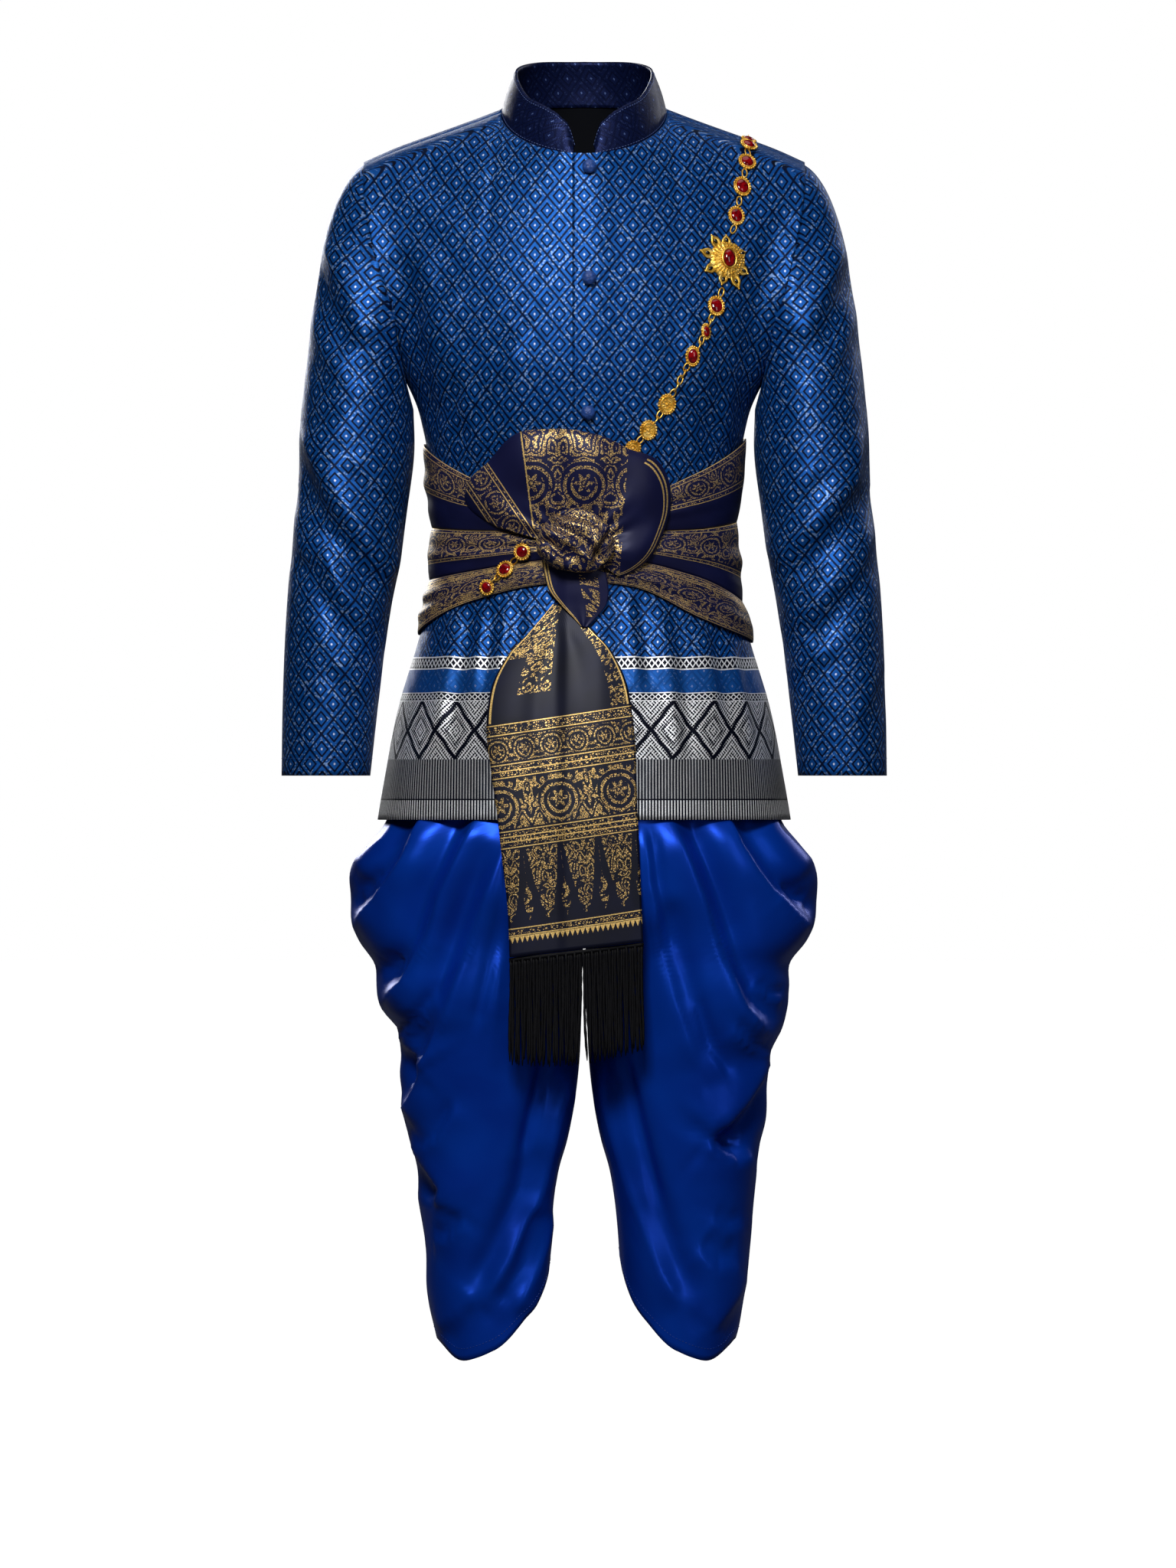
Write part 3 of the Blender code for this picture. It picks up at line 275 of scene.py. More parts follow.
def gridMesh(name, points, uv, closed=False, fan=None):
    # A mesh of quads on a grid of points in mm. A closed one shares its first and last columns.
    rows, columns = points.shape[:2]
    kept = points[:, :-1] if closed else points
    wide = kept.shape[1]
    row, column = np.meshgrid(np.arange(rows - 1), np.arange(columns - 1), indexing="ij")
    row, column = row.ravel(), column.ravel()
    rowStep = np.array([0, 0, 1, 1])
    columnStep = np.array([0, 1, 1, 0])
    cornerRow = row[:, None] + rowStep
    cornerColumn = column[:, None] + columnStep
    index = cornerRow * wide + cornerColumn % wide
    mesh = bpy.data.meshes.new(name)
    mesh.vertices.add(rows * wide)
    mesh.vertices.foreach_set("co", (kept * mm).astype(np.float32).ravel())
    mesh.loops.add(index.size)
    mesh.loops.foreach_set("vertex_index", index.astype(np.int32).ravel())
    mesh.polygons.add(len(index))
    mesh.polygons.foreach_set("loop_start", np.arange(0, index.size, 4, dtype=np.int32))
    mesh.update(calc_edges=True)
    for layerName, values in (("cloth", uv), ("fan", fan)):
        if values is not None:
            layer = mesh.uv_layers.new(name=layerName)
            layer.data.foreach_set("uv", values[cornerRow, cornerColumn].astype(np.float32).ravel())
    mesh.shade_smooth()
    mesh.validate()
    return mesh


def addPiece(name, mesh, material, slot, *replaced):
    mesh.materials.append(material)
    piece = bpy.data.objects.new(name, mesh)
    bpy.context.scene.collection.objects.link(piece)
    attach(piece, "root")
    if replaced:
        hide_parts(*replaced)
    return piece


def addCloth(name, points, material, cut, uv=None, closed=False, fan=None, lining=None):
    # A thin shell: the outer points, with a wall inside them, lined where a lining is given.
    if uv is None:
        uv = np.stack([lengthsAlong(points, 1), lengthsAlong(points, 0)], axis=-1)
    piece = addPiece(name, gridMesh(name, points, uv, closed, fan), material, cut["slot"], *cut["nodes"])
    wall = piece.modifiers.new("wall", "SOLIDIFY")
    wall.thickness = cut["wall"] * mm
    wall.offset = -1
    if lining:
        piece.data.materials.append(lining)
        wall.material_offset = 1
    return piece


def joinedMesh(name, parts, smooth=True):
    # One mesh from (vertices, faces) pairs, whose faces all have as many corners as each other.
    vertices, faces, start = [], [], 0
    for points, shape in parts:
        vertices.append(points)
        faces.append(shape + start)
        start += len(points)
    points = np.concatenate(vertices) * mm
    corners = np.concatenate(faces).astype(np.int32)
    mesh = bpy.data.meshes.new(name)
    mesh.vertices.add(len(points))
    mesh.vertices.foreach_set("co", points.astype(np.float32).ravel())
    mesh.loops.add(corners.size)
    mesh.loops.foreach_set("vertex_index", corners.ravel())
    mesh.polygons.add(len(corners))
    mesh.polygons.foreach_set("loop_start", np.arange(0, corners.size, corners.shape[1], dtype=np.int32))
    mesh.update(calc_edges=True)
    if smooth:
        mesh.shade_smooth()
    mesh.validate()
    return mesh


def tubeFaces(rings, around, looped=False):
    # Triangles between rings of points, each ring closed; a looped one joins its ends too.
    ring, side = np.meshgrid(np.arange(rings if looped else rings - 1), np.arange(around), indexing="ij")
    ring, side = ring.ravel(), side.ravel()
    after = (side + 1) % around
    above = (ring + 1) % rings
    low, lowAfter = ring * around + side, ring * around + after
    high, highAfter = above * around + side, above * around + after
    return np.concatenate([np.stack([low, lowAfter, highAfter], -1), np.stack([low, highAfter, high], -1)])


def endedFaces(rings, around):
    # The same with a pole at each end: two more points after the rings close them.
    side = np.arange(around)
    after = (side + 1) % around
    last = (rings - 1) * around
    foot = np.stack([np.full(around, rings * around), after, side], -1)
    head = np.stack([np.full(around, rings * around + 1), last + side, last + after], -1)
    return np.concatenate([tubeFaces(rings, around), foot, head])


def turned(radius, height, around, wide=1.0, long=1.0):
    # A closed turned shape about z, its profile from the foot's middle to the top's middle.
    turn = np.linspace(0, 2 * math.pi, around, endpoint=False)
    radius, height = np.array(radius, float), np.array(height, float)
    rings = places(radius[1:-1, None] * np.cos(turn) * wide, radius[1:-1, None] * np.sin(turn) * long,
                   height[1:-1, None])
    poles = places(0.0, 0.0, height[[0, -1]])
    return np.concatenate([rings.reshape(-1, 3), poles]), endedFaces(len(radius) - 2, around)


def hoop(wide, long, wire, around=22, sides=6):
    # A closed wire bent to an ellipse.
    turn = np.linspace(0, 2 * math.pi, around, endpoint=False)[:, None]
    spin = np.linspace(0, 2 * math.pi, sides, endpoint=False)
    reach = wire * np.cos(spin)
    points = places((wide / 2 + reach) * np.cos(turn), (long / 2 + reach) * np.sin(turn),
                    wire * np.sin(spin) + 0 * turn)
    return points.reshape(-1, 3), tubeFaces(around, sides, looped=True)


def ball(size, around=8, rows=5):
    lean = np.linspace(-math.pi / 2, math.pi / 2, rows + 2)
    return turned(size * np.cos(lean), size * np.sin(lean), around)


def seated(part, seat, at=(0.0, 0.0, 0.0), tip=0.0):
    # A shape moved onto a seat: (place, across, up, out), after a turn about its own z and a move.
    points, faces = part
    c, s = math.cos(tip), math.sin(tip)
    x = points[:, 0] * c - points[:, 1] * s + at[0]
    y = points[:, 0] * s + points[:, 1] * c + at[1]
    z = points[:, 2] + at[2]
    place, across, up, out = seat
    return place + x[:, None] * across + y[:, None] * up + z[:, None] * out, faces


# Materials

def newMaterial(name):
    made = bpy.data.materials.new(name)
    made.use_nodes = True
    return made, made.node_tree, made.node_tree.nodes["Principled BSDF"]


def clothPlace(tree, layer="cloth"):
    # The cloth's own u and v, in mm.
    uv = addNode(tree, "UVMap", uv_map=layer)
    split = addNode(tree, "SeparateXYZ", uv)
    return split.outputs[0], split.outputs[1]


def within(v, low, high):
    # A sum that is 1 between two values and 0 outside them.
    return ("MULTIPLY", ("GREATER_THAN", v, low), ("LESS_THAN", v, high))


def threads(tree, u, v, pitch):
    # Fine diagonal threads as a wave from 0 to 1.
    return ("PINGPONG", ("ADD", ("MULTIPLY", u, 1 / pitch), ("MULTIPLY", v, 1 / pitch)), 1.0)


jacquard = {
    "cellHalfWide": 12.7,
    "cellHalfHigh": 15.3,
    "thread": 0.85,  # drawn coarser than silk's 0.2, to show
    # cells above this value carry a painted glint
    "paintedGlintShare": 0.86,
    "hem": (20, 21.5, 62, 122, 131, 155, 168.5),
    "stripePitch": 3.3,
    "bandHalfWide": 23.0,
    "bandMiddle": 92.0,
    "bandHalfHigh": 30.0,
}


def jacquardSilk(name, dots, diamond, outline, band, line, paintedGlint, withHem):
    # Silk jacquard with metallic weft, woven: a satin gloss, with small light flecks on the bands that are
    # painted glints, standing in for light off the metal floats.
    made, tree, shader = newMaterial(name)
    u, v = clothPlace(tree)
    halfWide, halfHigh = jacquard["cellHalfWide"], jacquard["cellHalfHigh"]
    across = ("DIVIDE", ("PINGPONG", u, halfWide), halfWide)
    up = ("DIVIDE", ("PINGPONG", v, halfHigh), halfHigh)
    cell = addNode(tree, "Math", ("ADD", across, up), 1.0, operation="PINGPONG").outputs[0]
    vector = addNode(tree, "CombineXYZ", u, v, 0.0)
    grain = addNode(tree, "TexNoise", vector, Scale=0.9, Detail=2.0)
    wobble = ("MULTIPLY", ("SUBTRACT", grain, 0.5), 0.12)
    pattern = addNode(tree, "ValToRGB", ("ADD", cell, wobble), ramp=[
        (0.0, dots), (0.075, dots), (0.11, diamond), (0.38, diamond), (0.43, outline), (0.56, outline),
        (0.62, band), (0.86, band), (0.91, line), (1.0, line)])
    slope = ("SUBTRACT", ("MULTIPLY", up, halfHigh / jacquard["thread"]),
             ("MULTIPLY", across, halfWide / jacquard["thread"]))
    hatch = addNode(tree, "Math", ("ADD", slope, ("MULTIPLY", grain, 1.2)), 1.0, operation="PINGPONG")
    floats = addNode(tree, "ValToRGB", hatch, ramp=[(0.15, "#5a6788"), (0.85, "#ffffff")])
    woven = addNode(tree, "MixRGB", 0.85, pattern, floats, blend_type="MULTIPLY").outputs[0]
    # painted glints: random cells on the bands, mixed toward a pale glint colour as painted highlights
    glintCells = addNode(tree, "TexVoronoi", vector, Scale=0.6, Randomness=1.0)
    bright = addNode(tree, "SeparateColor", glintCells.outputs["Color"]).outputs[0]
    paintedGlints = addNode(tree, "Math", bright, jacquard["paintedGlintShare"], operation="GREATER_THAN").outputs[0]
    glintsOnBand = ("MULTIPLY", paintedGlints, within(cell, 0.58, 0.92))
    colour = addNode(tree, "MixRGB", ("MULTIPLY", glintsOnBand, 0.34), woven, linear(paintedGlint)).outputs[0]
    silver = 0.0
    if withHem:
        edge = jacquard["hem"]
        cloth = v
        stripes = ("GREATER_THAN", ("PINGPONG", u, jacquard["stripePitch"] / 2), 0.9)
        bright = ("MULTIPLY", within(cloth, 0.0, edge[0]), stripes)
        fine = ("MULTIPLY", ("MULTIPLY", within(cloth, edge[1], edge[2]), stripes), 0.5)
        wide, middle, high = jacquard["bandHalfWide"], jacquard["bandMiddle"], jacquard["bandHalfHigh"]
        fromBand = ("DIVIDE", ("ABSOLUTE", ("SUBTRACT", cloth, middle)), high)
        ring = addNode(tree, "Math", ("DIVIDE", ("PINGPONG", u, wide), wide), fromBand,
                       operation="ADD").outputs[0]
        fretU = ("DIVIDE", ("PINGPONG", ("ADD", u, v), 1.9), 1.9)
        fretV = ("DIVIDE", ("PINGPONG", ("SUBTRACT", u, v), 1.9), 1.9)
        steps = ("PINGPONG", ("MULTIPLY", ring, 4.5), 0.5)
        fret = ("ADD", ("MULTIPLY", fretU, 0.5), ("MULTIPLY", fretV, 0.5))
        fret = ("GREATER_THAN", ("ADD", fret, steps), 0.72)
        inLine = ("SUBTRACT", 1.0, ("MAXIMUM", within(ring, 0.9, 1.07), within(ring, 0.5, 0.56)))
        diamonds = ("MULTIPLY", ("MULTIPLY", within(cloth, edge[2], edge[3]), fret), inLine)
        dash = ("DIVIDE", ("PINGPONG", u, 3.2), 3.2)
        borders = 0.0
        for low, highEdge in ((edge[3], edge[4]), (edge[5], edge[6])):
            centre, half = (low + highEdge) / 2, (highEdge - low) / 2
            fromMiddle = ("DIVIDE", ("ABSOLUTE", ("SUBTRACT", cloth, centre)), half)
            zigzag = within(("ADD", ("MULTIPLY", dash, 0.7), fromMiddle), 0.45, 0.8)
            lines = within(fromMiddle, 0.78, 1.0)
            borders = ("ADD", borders, ("MAXIMUM", lines, zigzag))
        silver = addNode(tree, "Math", ("ADD", ("ADD", bright, fine), ("ADD", diamonds, borders)), 1.0,
                         operation="MINIMUM").outputs[0]
        inHem = addNode(tree, "Math", within(cloth, -50.0, edge[4])[1], within(cloth, -50.0, edge[4])[2],
                        operation="MULTIPLY").outputs[0]
        plain = addNode(tree, "Math", *within(cloth, edge[4], edge[5])[1:], operation="MULTIPLY").outputs[0]
        top = addNode(tree, "Math", *within(cloth, edge[5], edge[6])[1:], operation="MULTIPLY").outputs[0]
        base = addNode(tree, "MixRGB", ("MAXIMUM", inHem, top), colour, linear("#060918")).outputs[0]
        base = addNode(tree, "MixRGB", ("MULTIPLY", plain, 0.75), base, linear("#12468a")).outputs[0]
        shine = addNode(tree, "ValToRGB", grain, ramp=[(0.3, "#bcbec6"), (0.7, "#ffffff")])
        colour = addNode(tree, "MixRGB", silver, base, shine).outputs[0]
    tree.links.new(colour, shader.inputs["Base Color"])
    metal = addNode(tree, "Math", ("MULTIPLY", silver, 0.1), 0.45, operation="ADD")
    tree.links.new(metal.outputs[0], shader.inputs["Metallic"])
    rough = addNode(tree, "Math", ("MULTIPLY", cell, -0.08), 0.47, operation="ADD")
    tree.links.new(rough.outputs[0], shader.inputs["Roughness"])
    relief = ("ADD", ("MULTIPLY", hatch, 0.35), ("MULTIPLY", within(cell, 0.41, 0.5), -0.9))
    relief = ("ADD", relief, ("MULTIPLY", within(cell, 0.92, 1.01), -0.8))
    relief = ("ADD", relief, ("MULTIPLY", silver, 0.6))
    bump = addNode(tree, "Bump", Height=addNode(tree, "Math", relief[1], relief[2], operation="ADD"),
                   Strength=0.55, Distance=0.0004)
    tree.links.new(bump.outputs[0], shader.inputs["Normal"])
    shader.inputs["Specular IOR Level"].default_value = 0.1
    return made


def trouserSatin():
    # Polyester satin, woven with long floats: broad soft highlights in the cloth's own blue.
    made, tree, shader = newMaterial("royalBlueSatin")
    u, v = clothPlace(tree)
    vector = addNode(tree, "CombineXYZ", u, v, 0.0)
    cloud = addNode(tree, "TexNoise", vector, Scale=0.012, Detail=2.0)
    colour = addNode(tree, "ValToRGB", cloud, ramp=[(0.3, "#022f96"), (0.7, "#033aa8")])
    tree.links.new(colour.outputs[0], shader.inputs["Base Color"])
    weave = addNode(tree, "Math", *threads(tree, u, v, 0.7)[1:], operation="PINGPONG")
    creases = addNode(tree, "TexNoise", vector, Scale=0.05, Detail=3.0)
    height = addNode(tree, "Math", ("MULTIPLY", weave, 0.05), ("MULTIPLY", creases, 1.0), operation="ADD")
    bump = addNode(tree, "Bump", Height=height, Strength=0.35, Distance=0.0006)
    tree.links.new(bump.outputs[0], shader.inputs["Normal"])
    shader.inputs["Metallic"].default_value = 0.45
    shader.inputs["Roughness"].default_value = 0.35
    shader.inputs["Specular IOR Level"].default_value = 0.1
    return made


def flecked(tree, u, v, size=2.2, gap=0.12):
    # Gold floats, as the binding cuts them: small uneven cells with dark gaps between.
    plain = addNode(tree, "CombineXYZ", u, ("MULTIPLY", v, 1.25), 0.0)
    cells = addNode(tree, "TexVoronoi", plain, Scale=1 / size, feature="DISTANCE_TO_EDGE")
    return ("GREATER_THAN", cells, gap)


def leafWork(tree, u, v, size, mirror, middle=None, bloom=7.0):
    # Brocade ornament: the contour lines of a soft noise, mirrored about upright lines so that they
    # pair up as leaves. Where a middle is given, a row of flowers stands on it, each in a spiral
    # stem: petals as a cosine of the angle, the stem where angle and radius rise together.
    pair = addNode(tree, "Math", u, mirror, operation="PINGPONG")
    vector = addNode(tree, "CombineXYZ", pair, v, 0.0)
    field = addNode(tree, "TexNoise", vector, Scale=1 / size, Detail=1.5, Distortion=0.6)
    leaves = ("GREATER_THAN", ("PINGPONG", ("MULTIPLY", field, 9.0), 0.5), 0.24)
    if middle is not None:
        off = addNode(tree, "Math", v, middle, operation="SUBTRACT")
        far = addNode(tree, "Math", ("ADD", ("MULTIPLY", pair, pair), ("MULTIPLY", off, off)),
                      operation="SQRT")
        turn = addNode(tree, "Math", off, pair, operation="ARCTAN2")
        reach = ("ADD", 0.72, ("MULTIPLY", ("COSINE", ("MULTIPLY", turn, 6.0)), 0.28))
        petals = ("LESS_THAN", far, ("MULTIPLY", reach, bloom))
        petals = ("MULTIPLY", petals, ("GREATER_THAN", far, bloom * 0.3))
        petals = ("MAXIMUM", petals, ("LESS_THAN", far, bloom * 0.18))
        wind = ("ADD", ("MULTIPLY", turn, 0.32), ("DIVIDE", far, bloom * 0.75))
        stem = ("GREATER_THAN", ("PINGPONG", wind, 0.5), 0.27)
        stem = ("MULTIPLY", stem, ("GREATER_THAN", far, bloom * 1.12))
        flower = ("MAXIMUM", petals, stem)
        inside = addNode(tree, "Math", far, bloom * 2.3, operation="LESS_THAN")
        outside = ("SUBTRACT", 1.0, inside)
        leaves = ("ADD", ("MULTIPLY", leaves, outside), ("MULTIPLY", flower, inside))
    return addNode(tree, "Math", leaves, flecked(tree, u, v), operation="MULTIPLY").outputs[0]


def borderWork(tree, v, u, low, high):
    # A narrow woven border: a line along each edge, with a row of small floats between them.
    lines = ("MAXIMUM", within(v, low, low + 1.1), within(v, high - 1.1, high))
    row = ("MULTIPLY", flecked(tree, u, v, 2.6, 0.2), within(v, low + 2.0, high - 2.0))
    return ("MAXIMUM", lines, row)


def sashSilk(name, zones, ground=("#0e1033", "#151840")):
    # Navy silk satin with gold brocading weft: matt navy, and gold threads that catch the light.
    # zones(tree) gives the share of gold at each place.
    made, tree, shader = newMaterial(name)
    u, v = clothPlace(tree)
    gold = zones(tree, u, v)
    vector = addNode(tree, "CombineXYZ", u, v, 0.0)
    grain = addNode(tree, "TexNoise", vector, Scale=0.8, Detail=2.0)
    cloud = addNode(tree, "TexNoise", vector, Scale=0.02, Detail=2.0)
    # A ground darker than the default, as on the tail, is painted shade on the same navy.
    navy = addNode(tree, "ValToRGB", cloud, ramp=[(0.3, ground[0]), (0.7, ground[1])])
    thread = addNode(tree, "ValToRGB", grain, ramp=[(0.25, "#94702e"), (0.45, "#d8b062"), (0.75, "#ffe6a6")])
    colour = addNode(tree, "MixRGB", gold, navy, thread).outputs[0]
    tree.links.new(colour, shader.inputs["Base Color"])
    metal = addNode(tree, "Math", ("MULTIPLY", gold, 0.4), 0.2, operation="ADD")
    tree.links.new(metal.outputs[0], shader.inputs["Metallic"])
    rough = addNode(tree, "Math", ("MULTIPLY", gold, -0.04), 0.46, operation="ADD")
    tree.links.new(rough.outputs[0], shader.inputs["Roughness"])
    weave = addNode(tree, "Math", *threads(tree, u, v, 0.7)[1:], operation="PINGPONG")
    height = addNode(tree, "Math", ("MULTIPLY", weave, 0.12), ("MULTIPLY", gold, 0.8), operation="ADD")
    bump = addNode(tree, "Bump", Height=height, Strength=0.6, Distance=0.0004)
    tree.links.new(bump.outputs[0], shader.inputs["Normal"])
    shader.inputs["Specular IOR Level"].default_value = 0.25
    return made


def liningTwill():
    # Viscose twill lining, dyed navy and drawn near black: painted shade for the dark inside of the neck and
    # sleeves.
    made, tree, shader = newMaterial("navyLiningPaintedShade")
    u, v = clothPlace(tree)
    twill = addNode(tree, "Math", ("ADD", u, v), 0.5, operation="PINGPONG")
    # near black: painted shade for the inside, on a navy lining
    colour = addNode(tree, "ValToRGB", ("MULTIPLY", twill, 2.0), ramp=[(0.2, "#020307"), (0.8, "#05070f")])
    tree.links.new(colour.outputs[0], shader.inputs["Base Color"])
    bump = addNode(tree, "Bump", Height=twill, Strength=0.3, Distance=0.0002)
    tree.links.new(bump.outputs[0], shader.inputs["Normal"])
    shader.inputs["Roughness"].default_value = 0.7
    shader.inputs["Specular IOR Level"].default_value = 0.1
    return made


def goldPlate():
    # Brass, gilded and burnished: warm mirror tones, dulled and darkened where the work is fine.
    made, tree, shader = newMaterial("gildedBrass")
    place = addNode(tree, "TexCoord").outputs["Object"]
    fine = addNode(tree, "TexNoise", place, Scale=900.0, Detail=3.0)
    patina = addNode(tree, "TexNoise", place, Scale=160.0, Detail=2.0)
    colour = addNode(tree, "ValToRGB", patina, ramp=[(0.3, "#c48a24"), (0.5, "#f2c04e"), (0.75, "#ffe08a")])
    tree.links.new(colour.outputs[0], shader.inputs["Base Color"])
    rough = addNode(tree, "Math", ("MULTIPLY", fine, 0.25), 0.24, operation="ADD")
    tree.links.new(rough.outputs[0], shader.inputs["Roughness"])
    bump = addNode(tree, "Bump", Height=fine.outputs[0], Strength=0.5, Distance=0.0003)
    tree.links.new(bump.outputs[0], shader.inputs["Normal"])
    shader.inputs["Metallic"].default_value = 0.82
    return made


def rubyGlass(name, colour, deep):
    # Lead glass, cast and polished as domed stones: a dark red body under a hard bright surface.
    made, tree, shader = newMaterial(name)
    place = addNode(tree, "TexCoord").outputs["Object"]
    veil = addNode(tree, "TexNoise", place, Scale=260.0, Detail=2.0)
    body = addNode(tree, "ValToRGB", veil, ramp=[(0.35, deep), (0.65, colour)])
    tree.links.new(body.outputs[0], shader.inputs["Base Color"])
    shader.inputs["Roughness"].default_value = 0.1
    shader.inputs["IOR"].default_value = 1.5
    shader.inputs["Transmission Weight"].default_value = 0.15
    shader.inputs["Coat Weight"].default_value = 0.15
    return made


def spunThread(name, dark, light):
    # Mercerised cotton thread, spun and plied: a slight gloss on a fine twist.
    made, tree, shader = newMaterial(name)
    place = addNode(tree, "TexCoord").outputs["Object"]
    twist = addNode(tree, "TexNoise", place, Scale=1500.0, Detail=1.0)
    colour = addNode(tree, "ValToRGB", twist, ramp=[(0.35, dark), (0.7, light)])
    tree.links.new(colour.outputs[0], shader.inputs["Base Color"])
    bump = addNode(tree, "Bump", Height=twist.outputs[0], Strength=0.4, Distance=0.0002)
    tree.links.new(bump.outputs[0], shader.inputs["Normal"])
    shader.inputs["Roughness"].default_value = 0.5
    return made


print("materials ready")


# The jacket's form, which is the solids' own form worked out more finely

torsoForm = table(
    "z half front back",
    (-720, 211, 154, 148), (-683, 205, 150.5, 144), (-603, 190, 140, 132), (-540, 171, 126, 116),
    (-500, 160, 117, 105), (-470, 155, 113, 100), (-440, 153, 112, 98), (-400, 154.5, 114, 98),
    (-360, 158, 118.5, 99.5), (-318, 166, 124, 104), (-298, 171.5, 126, 107), (-280, 179, 127, 110),
    (-262, 188, 128, 112))
shoulderLine = table("x z", (84.9, 5), (107, -3.5), (141.5, -16), (160, -22.5), (201.6, -38), (226, -49))
armholeLine = table(
    "part x z front back backZ",
    (0, 188, -262, -6, -6, -262), (0.06, 188.5, -249, -33, 28, -249), (0.14, 194.5, -216, -50, 50, -216),
    (0.26, 206, -178, -60, 62, -178), (0.38, 215.2, -142, -58, 62, -142), (0.5, 221.3, -111, -49, 55, -111),
    (0.64, 225.5, -82, -36, 43, -76), (0.8, 226.5, -59.6, -21, 22, -50), (0.9, 226.3, -53, -13.5, 7, -45.5),
    (1, 226, -49, -7, -6, -49))
jacket = {
    "underarmZ": -262, "hemZ": -720, "sideSeam": 88, "neckShare": 0.38, "neckHalf": 84.9, "neckY": -8,
    "neckFront": 89, "neckBack": 83, "neckSideZ": 5, "neckDrop": 44.5, "neckRise": 9,
    "overlapShare": -0.042, "underlapShare": 0.03, "overlapRise": 2.3, "ridgeRise": 6, "seam": 0.0,
    "tuck": (3.0, 1.6),  # how far a sleeve's edge goes in under the jacket's, and below it
    "rowStep": 6, "upperStep": 0.02, "columnStep": 0.013,
    "neckLines": [0.04, 0.1, 0.17, 0.24, 0.31, 0.38],
    "sideLines": [0.5, 0.62, 0.74, 0.87, 1],
    # soft creases: height, width and where the crest runs, seen from the front
    "folds": (
        (3.9, 9, ((-128, -500), (-133, -540), (-146, -600), (-150, -640))),
        (3.1, 7, ((-104, -508), (-108, -545), (-113, -588))),
        (2.8, 8, ((-78, -500), (-84, -550), (-90, -600), (-96, -660))),
        (2.6, 7, ((45, -492), (50, -540), (56, -590))),
        (3.0, 8, ((78, -505), (86, -550), (92, -610), (96, -660))),
        (3.5, 9, ((118, -520), (126, -560), (136, -620))),
        (2.3, 7, ((150, -545), (160, -590), (170, -640))),
        (3.1, 11, ((-150, -330), (-120, -300), (-84, -262), (-60, -236))),
        (2.6, 10, ((-120, -345), (-98, -318), (-80, -282))),
        (2.1, 9, ((-84, -330), (-72, -296), (-66, -262))),
        (3.1, 12, ((148, -322), (126, -286), (112, -240), (106, -206))),
        (2.6, 10, ((118, -335), (104, -300), (92, -268))),
        (2.8, 13, ((170, -236), (150, -214), (128, -196))),
        (2.8, 13, ((-172, -232), (-148, -206), (-124, -184))),
        (2.1, 14, ((-190, -70), (-160, -96), (-120, -120))),
        (1.8, 12, ((196, -86), (176, -112), (166, -150))),
        (-4.6, 15, ((-190, -140), (-182, -180), (-170, -240), (-158, -320))),
        (-4.6, 15, ((190, -150), (176, -200), (166, -260), (160, -326))),
        (-2.6, 10, ((-142, -250), (-134, -290), (-128, -334))),
        (-2.4, 10, ((138, -268), (134, -300), (130, -334))),
    ),
}
wallOfCloth = 1.5


def torso(angle, z, out=0.0):
    # An ellipse made a little square, whose half width and depths change with the height.
    turn = np.radians(angle)
    half = through(z, torsoForm["z"], torsoForm["half"]) + out
    front = through(z, torsoForm["z"], torsoForm["front"]) + out
    back = through(z, torsoForm["z"], torsoForm["back"]) + out
    y = -fuller(np.cos(turn)) * np.where(np.cos(turn) > 0, front, back)
    return places(half * np.sin(turn), y, z)


def torsoFront(x, z, out=0.0):
    # The y of the same ellipse at a place seen from the front.
    half = through(z, torsoForm["z"], torsoForm["half"]) + out
    front = through(z, torsoForm["z"], torsoForm["front"]) + out
    return -front * np.sqrt(1 - np.clip(np.abs(x) / half, 0, 0.98) ** 2) ** 0.9


def lap(x):
    # How far the buttoned overlap raises what lies over it.
    return jacket["overlapRise"] * ease((x + 30) / 14) * (1 - ease((x - 14) / 28))


def neckAngle(share):
    slope = torsoForm["half"][-1] * math.radians(jacket["sideSeam"]) / jacket["neckHalf"]
    rest = math.pi / 2 - slope * jacket["neckShare"]
    return slope * share + rest * (share / jacket["neckShare"]) ** 3


def neckline(angle, back=False):
    reach = jacket["neckBack"] if back else jacket["neckFront"]
    drop = jacket["neckRise"] if back else jacket["neckDrop"]
    y = jacket["neckY"] - reach * np.cos(angle)
    return places(jacket["neckHalf"] * np.sin(angle), y, jacket["neckSideZ"] - drop * np.cos(angle))


def topEdge(share, back=False):
    # The neckline up to neckShare, and then the shoulder seam.
    angle = neckAngle(np.clip(share, -1, jacket["neckShare"]))
    neck = neckline(math.pi - angle if back else angle, back)
    along = np.clip((share - jacket["neckShare"]) / (1 - jacket["neckShare"]), 0, 1)
    x = shoulderLine["x"][0] + (shoulderLine["x"][-1] - shoulderLine["x"][0]) * along
    y = jacket["neckY"] + along + (jacket["seam"] if back else 0)
    seam = places(x, y, through(x, shoulderLine["x"], shoulderLine["z"]))
    return np.where((share > jacket["neckShare"])[..., None], seam, neck)


def armhole(part, back=False):
    y = through(part, armholeLine["part"], armholeLine["back" if back else "front"])
    z = through(part, armholeLine["part"], armholeLine["backZ" if back else "z"])
    return places(through(part, armholeLine["part"], armholeLine["x"]), y, z)


def upperBody(share, part, back=False):
    # Arches from the chest to the top edge: y falls as a power of a cosine while z rises as a sine.
    turn = 180 - share * (180 - jacket["sideSeam"]) if back else share * jacket["sideSeam"]
    low = torso(turn, np.full(share.shape, jacket["underarmZ"]))
    high = topEdge(share, back)
    phi = part * math.pi / 2
    fall = np.maximum(np.cos(phi), 0) ** (2 - 1.1 * ease(share / 0.45))
    x = low[..., 0] + (high[..., 0] - low[..., 0]) * ease(part)
    y = high[..., 1] + (low[..., 1] - high[..., 1]) * fall
    z = low[..., 2] + (high[..., 2] - low[..., 2]) * np.sin(phi)
    if back:
        z = z + jacket["ridgeRise"] * np.sin(math.pi * part**6) * ease(share / jacket["neckShare"])
    return places(x, y, z)


